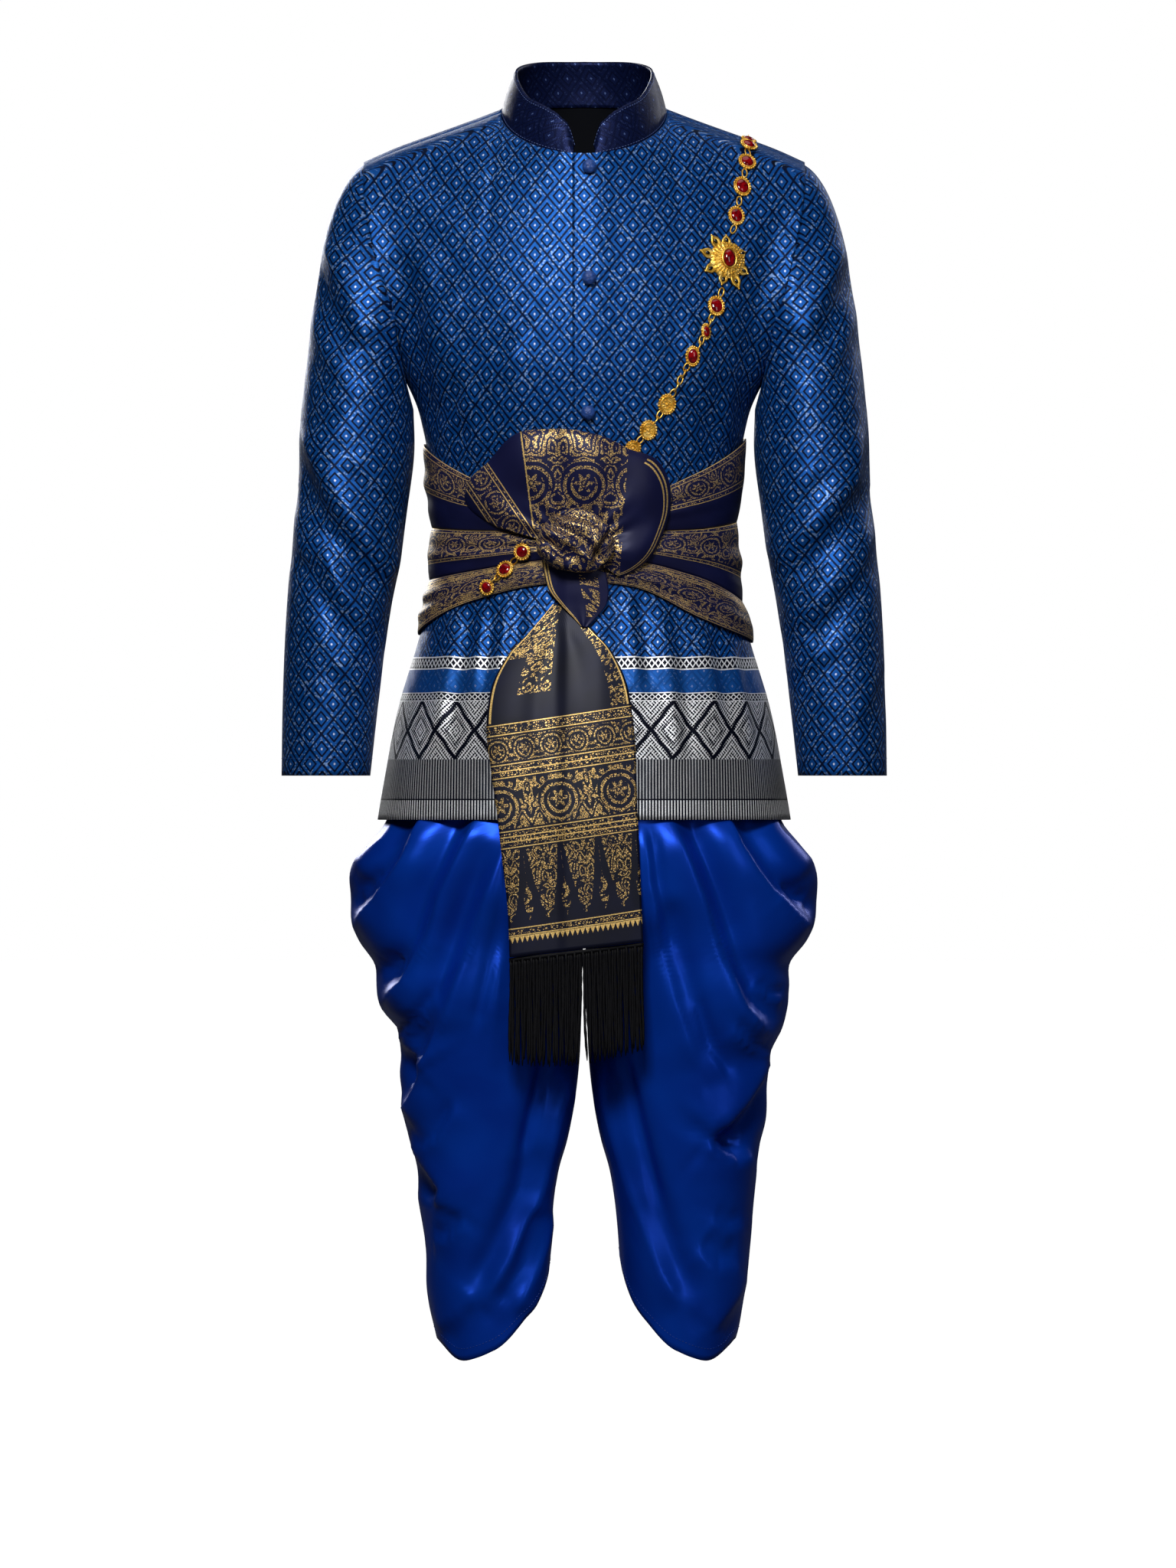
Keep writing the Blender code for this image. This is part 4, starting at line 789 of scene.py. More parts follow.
def bodyPanel(shares, back=False):
    # Half of a front or back: skirt rows on the torso's form, then the chest's arches.
    levels = np.array([jacket["hemZ"], -650, -560, -470, -380, -298, jacket["underarmZ"]])
    lower = denser(levels, jacket["rowStep"])
    upper = denser(np.array([0, 0.5, 0.8, 1]), jacket["upperStep"])
    turn = 180 - shares * (180 - jacket["sideSeam"]) if back else shares * jacket["sideSeam"]
    flute = ease((-600 - lower) / 120)[:, None]
    wave = 1.4 * (1 + np.sin(np.radians(turn * 7.3 + 40))) * ease((np.abs(turn) - 38) / 20)
    skirt = torso(turn[None], lower[:, None] + np.zeros(len(shares)), flute * wave)
    share, part = np.meshgrid(shares, upper)
    chest = upperBody(share, part, back)
    seam = armhole(part, back) - upperBody(np.ones(share.shape), part, back)
    chest = chest + seam * (np.clip(share, 0, 1) ** 4)[..., None]
    return np.concatenate([skirt[:-1], chest])


def clothUv(points, centre, up=0.0):
    # u is the cloth's length across and v its length up, added up along each row from a centre
    # column: across is level, and up is square to it, so that the pattern hangs true.
    facing = outward(points)
    level = places(-facing[..., 1], facing[..., 0], 0.0)
    level = level / np.maximum(np.linalg.norm(level, axis=-1, keepdims=True), 1e-6)
    rise = np.cross(facing, level)
    step = np.diff(points, axis=1)
    parts = []
    for direction in (level, rise):
        middle = (direction[:, 1:] + direction[:, :-1]) / 2
        run = np.cumsum((step * middle).sum(axis=-1), axis=1)
        run = np.concatenate([np.zeros((len(points), 1)), run], axis=1)
        parts.append(run - run[:, centre:centre + 1])
    u = parts[0] + points[:, centre:centre + 1, 0]
    v = parts[1] + lengthsAlong(points, 0)[:, centre:centre + 1] + up
    return np.stack([u, v], axis=-1)


def middleColumn(points):
    return int(np.abs(points[0, :, 0]).argmin())


def addJacket(silk, lining):
    cut = {"slot": "jacquard_silk", "wall": wallOfCloth, "held": "hung", "share": 0.8}
    shares = np.concatenate([[jacket["overlapShare"]], jacket["neckLines"], jacket["sideLines"]])
    over = bodyPanel(denser(shares, jacket["columnStep"]))
    over[..., 1] -= jacket["overlapRise"] * (1 - ease((over[..., 0] - 10) / 28))
    uv = clothUv(over, middleColumn(over))
    over = folded(over, jacket["folds"], hollow=0.8, sharp=1.9, steep=1.2)
    own = {"nodes": ["jacket_front_left"], "flat": (0.34, 0.78)}
    addCloth("jacketFrontLeft", over, silk, cut | own, uv, lining=lining)
    shares[0] = -jacket["underlapShare"]
    under = mirrored(bodyPanel(denser(shares, jacket["columnStep"])))
    uv = clothUv(under, middleColumn(under))
    under = folded(under, jacket["folds"], hollow=0.8, sharp=1.9, steep=1.2)
    own = {"nodes": ["jacket_front_right"], "flat": (0.34, 0.78)}
    addCloth("jacketFrontRight", under, silk, cut | own, uv, lining=lining)
    side = 1 - math.degrees(jacket["seam"] / torsoForm["half"][-1]) / jacket["sideSeam"]
    shares = denser(np.array([0, 0.13, 0.26, 0.38, 0.54, 0.7, 0.86, side]), jacket["columnStep"])
    half = bodyPanel(shares, back=True)
    whole = np.concatenate([half[:, ::-1], (half * (-1, 1, 1))[:, 1:]], axis=1)
    uv = clothUv(whole, middleColumn(whole))
    whole = folded(whole, jacket["folds"], hollow=0.8, sharp=1.9, steep=1.2)
    own = {"nodes": ["jacket_back"], "flat": (0.62, 0.78)}
    addCloth("jacketBack", whole, silk, cut | own, uv, lining=lining)
    print("jacket body:", len(over) * over.shape[1], "points a front")
    return over, under, whole


sleeveForm = table(
    "z outer inner depth middle",
    (-675, 310, 219, 46, -30), (-603, 309, 211, 49, -26), (-523, 306, 201, 53, -21),
    (-470, 302.5, 192, 57, -17),
    (-402, 296, 181.5, 61, -12), (-340, 293, 174, 66, -6), (-300, 290, 175, 68, -3))
capForm = table("share outX outZ inX inZ", (0, -12, -38, -8, -40), (0.5, 35, -120, 8, -145),
                (1, 150, -60, 30, -250))
sleeve = {
    "cuffZ": -675, "capZ": -300, "rowStep": 6, "partStep": 0.03,
    "left": (
        (7.6, 15, ((281, -318), (274, -372), (246, -408), (212, -444), (198, -462))),
        (5.1, 13, ((262, -470), (240, -500), (212, -520))),
        (6.0, 15, ((266, -130), (244, -180), (222, -232))),
        (2.7, 9, ((296, -420), (284, -455), (262, -486))),
        (2.5, 9, ((240, -356), (222, -380), (204, -400))),
        (2.2, 8, ((250, -545), (232, -560), (214, -566))),
        (2.7, 10, ((284, -190), (262, -236), (246, -262))),
        (2.0, 9, ((300, -560), (288, -600), (276, -622))),
    ),
    "right": (
        (8.5, 15, ((-286, -318), (-272, -355), (-254, -394), (-215, -449), (-193, -476))),
        (5.1, 13, ((-268, -440), (-250, -482), (-216, -530))),
        (6.0, 15, ((-264, -124), (-246, -176), (-220, -236))),
        (2.5, 9, ((-300, -400), (-290, -440), (-276, -462))),
        (2.5, 9, ((-238, -350), (-218, -372), (-200, -388))),
        (2.4, 8, ((-256, -556), (-238, -580), (-222, -592))),
        (2.7, 10, ((-286, -196), (-266, -240), (-248, -270))),
    ),
}


def sleevePoints(side, folds):
    # Level ellipses from the cuff to the upper arm, then a cubic Hermite cap from each place on the
    # top ellipse to its place on the armhole.
    up = denser(np.array([0, 0.5, 1.0]), sleeve["partStep"])
    part = np.concatenate([up, up[-2::-1]])
    back = np.arange(len(part)) >= len(up)
    start = np.where(back[:, None], armhole(part, True), armhole(part))
    turn = np.where(back, math.pi * (1 + part), math.pi * (1 - part))
    share = (1 + np.cos(turn)) / 2
    leave = places(through(share, capForm["share"], capForm["outX"]), -24 * np.sin(turn),
                   through(share, capForm["share"], capForm["outZ"]))
    enter = places(through(share, capForm["share"], capForm["inX"]), -8 * np.sin(turn),
                   through(share, capForm["share"], capForm["inZ"]))
    # the sleeve's edge goes in under the jacket's, but for the underarm
    inside = places(0, -start[..., 1], -150 - start[..., 2])
    inside = inside / np.linalg.norm(inside, axis=-1, keepdims=True) * jacket["tuck"][1]
    inside = inside - (jacket["tuck"][0], 0, 0)
    start = start + inside * ease(share / 0.12)[:, None]
    z = denser(np.array([sleeve["cuffZ"], -520.0, -400.0, sleeve["capZ"]]), sleeve["rowStep"])[:, None]
    outer = through(z, sleeveForm["z"], sleeveForm["outer"])
    inner = through(z, sleeveForm["z"], sleeveForm["inner"])
    depth = through(z, sleeveForm["z"], sleeveForm["depth"])
    y = through(z, sleeveForm["z"], sleeveForm["middle"]) - depth * np.sin(turn)
    rings = places((outer + inner) / 2 + (outer - inner) / 2 * np.cos(turn), y, z)
    t = np.linspace(1, 0, 36)[1:, None, None]
    cap = (2 * t**3 - 3 * t**2 + 1) * start + (t**3 - 2 * t**2 + t) * leave
    cap = cap + (3 * t**2 - 2 * t**3) * rings[-1] + (t**3 - t**2) * enter
    points = np.concatenate([rings, cap])
    points = mirrored(points) if side < 0 else points
    uv = clothUv(points, points.shape[1] // 2, 600.0)
    return folded(points, folds, -10, hollow=1.0, sharp=1.4, side=side, steep=1.9), uv


def addSleeves(silk, lining):
    made = []
    for side, name, node in ((1, "left", "jacket_sleeve_left"), (-1, "right", "jacket_sleeve_right")):
        points, uv = sleevePoints(side, sleeve[name])
        cut = {"slot": "jacquard_silk", "nodes": [node], "wall": wallOfCloth, "held": "hung",
               "restsOn": ["jacketFront" + name.capitalize()], "flat": (0.42, 0.64), "share": 0.8}
        addCloth("sleeve" + name.capitalize(), points, silk, cut, uv, lining=lining)
        made.append(points)
    print("sleeves made")
    return made


collarRim = table("angle z", (7.6, -31), (10.9, -16.3), (19.6, -2), (32.6, 8.4), (54.5, 19.5), (75, 36),
                  (90, 46), (110, 53), (135, 58), (180, 59.8))
collar = {"wall": 2.6, "rise": -1.2, "rimHalf": 70.6, "rimFront": 80, "rimBack": 76, "bow": 1.6, "ends": 7.6}


def collarPoints(share):
    # Straight from the neckline up to the rim, with a slight outward bow, all round but the gap.
    whole = np.radians(np.concatenate([np.linspace(collar["ends"], 40, 40), np.linspace(41, 180, 90)]))
    back = whole > math.pi / 2
    foot = np.where(back[:, None], neckline(whole, True), neckline(whole))
    rimZ = through(np.degrees(whole), collarRim["angle"], collarRim["z"])
    rimY = jacket["neckY"] - np.where(back, collar["rimBack"], collar["rimFront"]) * np.cos(whole)
    rim = places(collar["rimHalf"] * np.sin(whole), rimY, rimZ)
    share = share[:, None, None]
    points = foot + (rim - foot) * share + (0, 0, collar["rise"]) * (1 - share)
    bow = collar["bow"] * np.sin(math.pi * share)
    points = points - places(-np.sin(whole), np.cos(whole), 0 * whole) * bow * (1, 1, 0)
    return np.concatenate([points, (points * (-1, 1, 1))[:, -2::-1]], axis=1)


def addCollar(silk):
    points = collarPoints(np.linspace(0, 1, 14))
    cut = {"slot": "collar_silk", "nodes": ["jacket_collar"], "wall": collar["wall"], "held": "stretched",
           "restsOn": ["jacketBack"], "flat": (0.52, 0.06), "share": 0.8}
    addCloth("standCollar", points, silk, cut)
    print("collar made")
    return points


# The trousers

legLeft = table(
    "z outer",
    (-1273, 148), (-1238, 159.5), (-1201, 165), (-1158, 170), (-1105, 174), (-1060, 178.5), (-1022, 187.5),
    (-987, 190), (-958, 188), (-936, 202), (-915, 208), (-890, 210), (-866, 211), (-845, 227), (-822, 237),
    (-795, 239), (-768, 236), (-745, 221), (-722, 203.7), (-700, 199.5), (-600, 178.5),
    (-540, 164), (-465, 150.5))
legRight = table(
    "z outer",
    (-1273, 146), (-1240, 153.5), (-1201, 161), (-1161, 162), (-1105, 171), (-1062, 175), (-1022, 185),
    (-987, 191), (-958, 190.5), (-936, 189.5), (-915, 206.5), (-890, 214), (-866, 216), (-845, 230),
    (-822, 239), (-795, 240.5), (-768, 238), (-745, 222), (-722, 204), (-700, 199.5), (-600, 178.5),
    (-540, 164), (-465, 150.5))
legInner = table("z inner", (-1273, 37), (-1167, 36), (-1109, 31), (-1077, 26), (-1046, 17), (-1004, 9),
                 (-975, 5.5), (-915, 2.5))
legDepth = table(
    "z front back middle half",
    (-1273, 148, 148, -28, 62), (-1200, 148, 148, -28, 68), (-1100, 148, 148, -28, 78),
    (-1000, 148, 148, -26, 92), (-915, 147, 148, -22, 107), (-850, 146, 148, -15, 125),
    (-800, 148, 149, -10, 140), (-760, 148, 146, -8, 145), (-720, 147, 140, -4, 143),
    (-683, 143.5, 136, -4, 140), (-600, 130, 122, -4, 126), (-540, 118, 108, -4, 113),
    (-465, 108.5, 95, -4, 102))
legHem = table("cosine z", (-1, -1250), (-0.7, -1271), (-0.3, -1270), (0.1, -1259), (0.45, -1238),
               (0.85, -1199), (1, -1165))
trousers = {
    "crotchZ": -915, "spreadZ": -790, "waistLow": -464.6, "centreGap": 0.3, "columns": 236, "rowStep": 5,
    "crisp": 0.84,  # the folds' widths below are drawn this much narrower
    "left": (
        (7.2, 13, ((187, -712), (197, -733), (212, -747), (224, -757), (236, -768))),
        (10.2, 14, ((140, -710), (155, -747), (171, -771), (187, -792), (215, -820), (234, -832))),
        (11.6, 15, ((84, -716), (105, -764), (119, -799), (141, -866), (161, -912), (188, -941))),
        (5.8, 14, ((70, -800), (77, -852), (91, -905), (115, -975))),
        (10.2, 13, ((204, -944), (178, -980), (161, -1008), (143, -1030), (128, -1046))),
        (7.2, 12, ((120, -1050), (143, -1064), (154, -1070), (172, -1061))),
        (3.4, 13, ((110, -1160), (135, -1180), (160, -1176))),
        (3.4, 12, ((170, -1186), (145, -1221), (130, -1240))),
        (7.2, 15, ((14, -975), (27, -1023), (40, -1070), (55, -1117), (77, -1180), (98, -1220))),
        # finer creases
        (3.2, 6, ((176, -888), (190, -902), (204, -904))),
        (3.6, 7, ((146, -930), (166, -952), (186, -958))),
        (2.0, 8, ((128, -1128), (146, -1140), (164, -1134))),
        (3.5, 7, ((60, -730), (68, -790), (82, -860))),
        (2.6, 6, ((108, -900), (122, -948), (142, -984))),
        (2.9, 6, ((200, -790), (218, -806), (232, -806))),
        (2.9, 8, ((30, -960), (46, -1040), (66, -1120))),
    ),
    "right": (
        (7.2, 13, ((-187, -712), (-204, -741), (-220, -755), (-238, -768))),
        (10.2, 14, ((-158, -712), (-169, -739), (-180, -763), (-208, -802), (-238, -833))),
        (11.6, 15, ((-104, -714), (-119, -746), (-143, -797), (-158, -843), (-180, -887), (-206, -909))),
        (10.2, 14, ((-78, -745), (-106, -821), (-128, -884), (-151, -954), (-174, -1008), (-188, -1020))),
        (8.7, 11, ((-192, -934), (-170, -964), (-162, -976))),
        (8.7, 13, ((-178, -1042), (-159, -1072), (-142, -1098), (-150, -1116))),
        (3.2, 14, ((-152, -1240), (-130, -1224), (-112, -1204))),
        (7.2, 15, ((-12, -975), (-28, -1023), (-45, -1102), (-77, -1171), (-102, -1212))),
        (5.8, 12, ((-34, -1120), (-51, -1180), (-72, -1224))),
        # finer creases
        (3.5, 7, ((-186, -868), (-200, -880), (-212, -878))),
        (3.2, 6, ((-150, -900), (-168, -928), (-186, -938))),
        (3.2, 7, ((-60, -740), (-72, -800), (-90, -880), (-104, -940))),
        (2.9, 6, ((-128, -1010), (-146, -1046), (-166, -1058))),
        (2.9, 7, ((-120, -1130), (-138, -1150), (-154, -1150))),
        (2.6, 6, ((-204, -778), (-222, -792), (-234, -796))),
        (2.9, 8, ((-24, -930), (-36, -1000), (-52, -1066))),
    ),
}


def legPoints(outline, folds, side):
    # Half an ellipse for the hips, blended below the fork into a full ellipse for the leg.
    share = np.linspace(0, 1, trousers["columns"])
    turn = 2 * math.pi * share
    hem = through(np.cos(turn), legHem["cosine"], legHem["z"])
    spread = np.exp(-((np.arange(-12, 13) / 6) ** 2))
    hem = np.convolve(np.concatenate([hem[-13:-1], hem, hem[1:13]]), spread / spread.sum(), mode="valid")
    down = np.linspace(1, 0, 60)[:, None]
    lower = trousers["crotchZ"] + (hem - trousers["crotchZ"]) * down
    upper = denser(np.array([trousers["crotchZ"] + 1, -790.0, trousers["waistLow"]]), trousers["rowStep"])
    z = np.concatenate([lower[:-1], upper[:, None] + 0 * hem])
    outer = through(z, outline["z"], outline["outer"])
    inner = through(z, legInner["z"], legInner["inner"])
    depth = {name: through(z, legDepth["z"], legDepth[name]) for name in ("front", "back", "middle", "half")}
    ringX = (outer + inner) / 2 - (outer - inner) / 2 * fuller(np.cos(turn))
    ringY = depth["middle"] - depth["half"] * fuller(np.sin(turn))
    halfX = outer * np.sin(turn / 2) + trousers["centreGap"]
    halfY = -fuller(np.cos(turn / 2)) * np.where(share < 0.5, depth["front"], depth["back"])
    closed = ease((trousers["spreadZ"] - z) / (trousers["spreadZ"] - trousers["crotchZ"]))
    points = places(halfX + (ringX - halfX) * closed, halfY + (ringY - halfY) * closed, z)
    points = mirrored(points) if side < 0 else points
    folds = [(height, width * trousers["crisp"], crest) for height, width, crest in folds]
    creased = folded(points, folds, hollow=1.0, sharp=1.3, side=side, steep=2.6)
    away = ease(np.minimum(share, 1 - share) / 0.06)[:, None]
    points = points + (creased - points) * away
    return points


def addTrousers(satin):
    made = []
    for side, name, outline in ((1, "left", legLeft), (-1, "right", legRight)):
        points = legPoints(outline, trousers[name], side)
        cut = {"slot": "trouser_satin", "nodes": [f"trousers_{name}_leg"], "wall": 1.5, "held": "gathered",
               "restsOn": ["trousers_waistband"], "flat": (0.66, 0.84), "share": 0.85}
        addCloth("trouser" + name.capitalize(), points, satin, cut)
        made.append(points)
    band = frame["nodes"]["trousers_waistband"]
    band.data.materials.clear()
    band.data.materials.append(satin)
    print("trousers made")
    return made


# The sash

wrapEdges = table(
    "angle top second third bottom",
    (-180, -336, -419, -477, -533), (-120, -336, -420, -476, -531), (-90, -336, -421, -475, -529),
    (-45, -372, -425, -465, -497), (-20, -396, -426, -456, -482), (0, -402, -428, -453, -478),
    (20, -392, -426, -456, -484), (45, -367, -424, -470, -514), (90, -330, -415, -497, -538),
    (120, -332, -416, -490, -537), (180, -336, -419, -477, -533))
sash = {"wall": 1.2, "edge": 2.9, "bulge": 2.6, "knot": (-9, -437), "knotSize": (39, 15.5, 31),
        "knotSink": 2.8, "loopCentre": (-8, -445), "tailStands": 2.8, "tailDrift": 0.03, "creaseHigh": 1.7}
wrapZones = {
    # how deep the gold lies from each turn's upper edge, as shares of the turn's width
    "upper": (0.5, 1.0), "middle": (0.34, 1.0), "lower": (0.0, 1.0),
}
wrapBorders = {"upper": ((38, 45), (77, 84)), "middle": ((25, 31), (78, 84)),
               "lower": ((66, 72), (76, 82), (2, 8))}
wrapShares = {"upper": 0.75, "middle": 0.62, "lower": 0.5}
wrapWide = 84.0  # the width that a turn's pattern is drawn to, gathered where the turn is narrower


def wrapGold(low, borders):
    # Brocade from a share of the width up to the edge, with narrow borders, and navy below.
    def zones(tree, u, v):
        brocade = leafWork(tree, u, v, 22.0, 24.0, (low + 1) * wrapWide / 2, 7.5)
        inside = ("MULTIPLY", brocade, within(v, low * wrapWide + 5, wrapWide - 6))
        gold = inside
        for start, end in borders:
            gold = ("MAXIMUM", gold, borderWork(tree, v, u, start, end))
        return addNode(tree, "Math", gold[1], gold[2], operation=gold[0]).outputs[0]
    return zones


def addWraps():
    # Each turn is the torso's form moved out, fuller between its edges, with creases that run with
    # it: waves across its width whose height comes and goes along it.
    angle = np.linspace(-180, 180, 421)
    share = np.linspace(0, 1, 26)[:, None]
    for name, high, low, phase in (("upper", "top", "second", 0.3), ("middle", "second", "third", 1.9),
                                   ("lower", "third", "bottom", 3.1)):
        top = through(angle, wrapEdges["angle"], wrapEdges[high]) - jacket["seam"] / 2
        bottom = through(angle, wrapEdges["angle"], wrapEdges[low]) + jacket["seam"] / 2
        z = bottom + (top - bottom) * share
        turn = angle + 0 * z
        swell = np.sin(math.pi * share)
        bend = np.radians(angle)
        crease = np.sin(share * 15 + phase + 1.7 * np.sin(bend * 2 + phase))
        crease = crease * (0.55 + 0.45 * np.sin(bend * 3 + 2 * phase)) * swell
        out = sash["edge"] + sash["bulge"] * swell ** 0.7 + sash["creaseHigh"] * (crease + 1) * swell
        flat = torso(turn, z)
        out = out + np.where(flat[..., 1] < 0, lap(flat[..., 0]), 0)
        points = torso(turn, z, out)
        uv = np.stack([lengthsAlong(points, 1), share * wrapWide + 0 * angle], axis=-1)
        start = wrapZones[name][0]
        material = sashSilk("goldBrocade" + name.capitalize(), wrapGold(start, wrapBorders[name]))
        cut = {"slot": "sash_brocade", "nodes": ["sash_wrap_" + name], "wall": sash["wall"],
               "held": "stretched", "restsOn": ["jacketFrontLeft", "jacketFrontRight", "jacketBack"],
               "flat": (0.9, 0.085), "share": wrapShares[name]}
        addCloth("sashTurn" + name.capitalize(), points, material, cut, uv, closed=True)
    print("sash turns made")


loopRim = table(
    "angle radius",
    (-32, 51), (-22, 60), (-4, 77), (13, 92), (25, 106), (40, 120), (48, 123), (62, 116), (74, 118),
    (91, 122), (105, 127), (116, 133), (135, 127), (150, 129), (159, 115), (164, 82))
loopForm = table("share stands", (0.16, 11.5), (0.36, 17), (0.58, 22), (0.8, 22), (0.94, 18), (1, 13),
                 (0.99, 9.6), (0.95, 7.8))


def loopGold(tree, u, v):
    # A brocade panel up the middle, double lines along the right rim, and at the left a border
    # folded back from the rim.
    left = ("SUBTRACT", -50.0, ("MULTIPLY", v, 0.13))
    right = ("ADD", 38.0, ("MULTIPLY", v, 0.07))
    turnedBack = addNode(tree, "Math", ("MULTIPLY", ("ADD", u, 98.0), -0.829),
                         ("MULTIPLY", ("SUBTRACT", v, 89.0), -0.558), operation="ADD")
    below = ("LESS_THAN", turnedBack, -1.0)
    panel = ("MULTIPLY", ("GREATER_THAN", u, left), ("LESS_THAN", u, right))
    panel = ("MULTIPLY", panel, below)
    gold = ("MULTIPLY", leafWork(tree, u, v, 24.0, 27.0, 68.0, 10.5), panel)
    gold = ("MAXIMUM", gold, ("MULTIPLY", within(("SUBTRACT", u, left), 0.5, 1.8), below))
    along = addNode(tree, "Math", ("MULTIPLY", u, 0.558), ("MULTIPLY", v, -0.829), operation="ADD")
    leaves = leafWork(tree, along, turnedBack, 18.0, 15.0, 17.0, 6.0)
    gold = ("MAXIMUM", gold, ("MULTIPLY", leaves, within(turnedBack, 7.0, 27.0)))
    for start, end in ((0.4, 6.0), (28.5, 34.0)):
        gold = ("MAXIMUM", gold, borderWork(tree, turnedBack, along, start, end))
    angle, share = clothPlace(tree, "fan")
    rim = ("MAXIMUM", within(share, 0.955, 0.97), within(share, 0.92, 0.935))
    rim = ("MULTIPLY", rim, ("LESS_THAN", angle, 52.0))
    return addNode(tree, "Math", gold, rim, operation="MAXIMUM").outputs[0]


def addLoop():
    # A fan round the knot: the radius follows the rim's table and the depth follows loopForm, with
    # pleats as cosines of the angle that fade to the rim.
    angle = np.linspace(loopRim["angle"][0], loopRim["angle"][-1], 190)
    rim = through(angle, loopRim["angle"], loopRim["radius"])
    keys = np.arange(len(loopForm["share"]), dtype=float)
    t = np.linspace(0, keys[-1], 64)[:, None]
    share = through(t, keys, loopForm["share"])
    turn = np.radians(angle)
    x = sash["loopCentre"][0] + rim * share * np.cos(turn)
    z = sash["loopCentre"][1] + rim * share * np.sin(turn)
    pleat = 2.2 * np.cos(turn * 9) * np.sin(math.pi * share**2)
    pleat = pleat + 1.1 * np.cos(turn * 23 + 1) * (1 - ease((share - 0.3) / 0.45)) * ease((share - 0.2) / 0.1)
    ends = ease((angle - angle[0]) / 22) * ease((angle[-1] - angle) / 16)
    low = loopForm["stands"][-1]
    stands = low + (through(t, keys, loopForm["stands"]) - low) * (0.35 + 0.65 * ends) + pleat * ends
    stands = loopForm["stands"][0] + (stands - loopForm["stands"][0]) * ease((t - 0.05) / 0.9)
    points = places(x, torsoFront(x, z) - lap(x) - stands, z)[:, ::-1]
    fan = np.stack(np.broadcast_arrays(angle, share + 0.06 * ease(t - 5)), axis=-1)[:, ::-1]
    uv = np.stack([x, z + 445], axis=-1)[:, ::-1]
    cut = {"slot": "sash_brocade", "nodes": ["sash_loop"], "wall": sash["wall"], "held": "folded",
           "restsOn": ["sashTurnUpper", "sashTurnMiddle"], "flat": (0.24, 0.17), "share": 0.72}
    addCloth("sashLoop", points, sashSilk("goldBrocadeLoop", loopGold), cut, uv, fan=fan)
    print("loop made")


def knotGold(tree, u, v):
    return leafWork(tree, u, v, 15.0, 9.0)


knotFolds = (
    (4.6, 5.0, ((-44, -424), (-26, -430), (-8, -440), (6, -454), (14, -468))),
    (4.0, 4.6, ((26, -420), (16, -432), (8, -446), (2, -462))),
    (3.4, 4.2, ((-36, -412), (-18, -415), (2, -420), (18, -430))),
    (3.4, 4.2, ((-46, -440), (-32, -450), (-18, -462))),
)


def addKnot():
    # Half an ellipsoid whose poles point left and right, grooved along its length.
    east = np.linspace(-88, 88, 90)
    around = np.radians(np.linspace(-118, 118, 110))[:, None]
    lean = np.radians(east)
    sizeX, sizeY, sizeZ = sash["knotSize"]
    groove = 1 + 0.1 * np.sin(5 * around + 2.2 * np.sin(lean) + 0.4) + 0.02 * np.sin(13 * around + 4 * lean)
    x = sizeX * np.sin(lean) * (1 + 0.03 * np.sin(3 * around))
    y = -sizeY * np.cos(lean) * np.cos(around) * groove
    z = sizeZ * np.cos(lean) * np.sin(around) * groove
    y = y + 1.2 * np.exp(-((x + 2) ** 2 + (z + 10) ** 2) / 60) * 3
    middle = torsoFront(*np.array(sash["knot"], float)) - jacket["overlapRise"] - 14
    middle = middle - sizeY + sash["knotSink"]
    points = places(x + sash["knot"][0], y + middle, z + sash["knot"][1])
    points = folded(points, knotFolds, 20, hollow=0.9, sharp=1.8, steep=1.5)
    cut = {"slot": "sash_brocade", "nodes": ["sash_knot"], "wall": sash["wall"], "held": "gathered",
           "restsOn": ["sashFlap", "sashLoop"], "flat": (0.09, 0.09), "share": 0.85}
    addCloth("sashKnot", points, sashSilk("goldBrocadeKnot", knotGold), cut)
    print("knot made")


flapRows = table(
    "left leftZ right rightZ stands",
    (-44, -447, 22, -468, 14), (-41, -468, 24, -478, 13.5), (-36, -486, 25, -489, 11.5),
    (-24, -501, 22, -502, 8.5),
    (-11, -514, 13, -513, 6.2), (-3, -523, 3, -524, 4.9))
tailRows = table(
    "left leftZ right rightZ",
    (-32, -500, -8, -500), (-46, -517, -2, -516), (-60, -533, 10, -529), (-77, -551, 27, -547),
    (-94, -583, 43, -580), (-99.6, -624, 50, -621), (-96, -662, 52.5, -655), (-89, -712, 54, -703),
    (-84, -757, 56, -748), (-78, -810, 58, -797), (-76, -860, 60, -844))
tailSlant = table("z rise", (-860, 1), (-810, 6), (-757, 11), (-712, 12), (-662, 14), (-624, 18), (-500, 18))


def between(rows, count, lines):
    # Straight across from a smooth left edge to a smooth right edge.
    keys = np.arange(len(rows["left"]), dtype=float)
    at = np.linspace(0, keys[-1], count)[:, None]
    across = np.linspace(0, 1, lines)
    x = through(at, keys, rows["left"]) * (1 - across) + through(at, keys, rows["right"]) * across
    z = through(at, keys, rows["leftZ"]) * (1 - across) + through(at, keys, rows["rightZ"]) * across
    return x, z, at, across


def flapGold(tree, u, v):
    across, along = clothPlace(tree, "fan")
    edge = ("MAXIMUM", within(across, 0.015, 0.045), within(across, 0.065, 0.09))
    strip = ("MULTIPLY", within(across, 0.55, 0.85), within(along, 0.15, 0.8))
    motif = ("MULTIPLY", leafWork(tree, u, v, 18.0, 8.0), strip)
    return addNode(tree, "Math", edge, motif, operation="MAXIMUM").outputs[0]


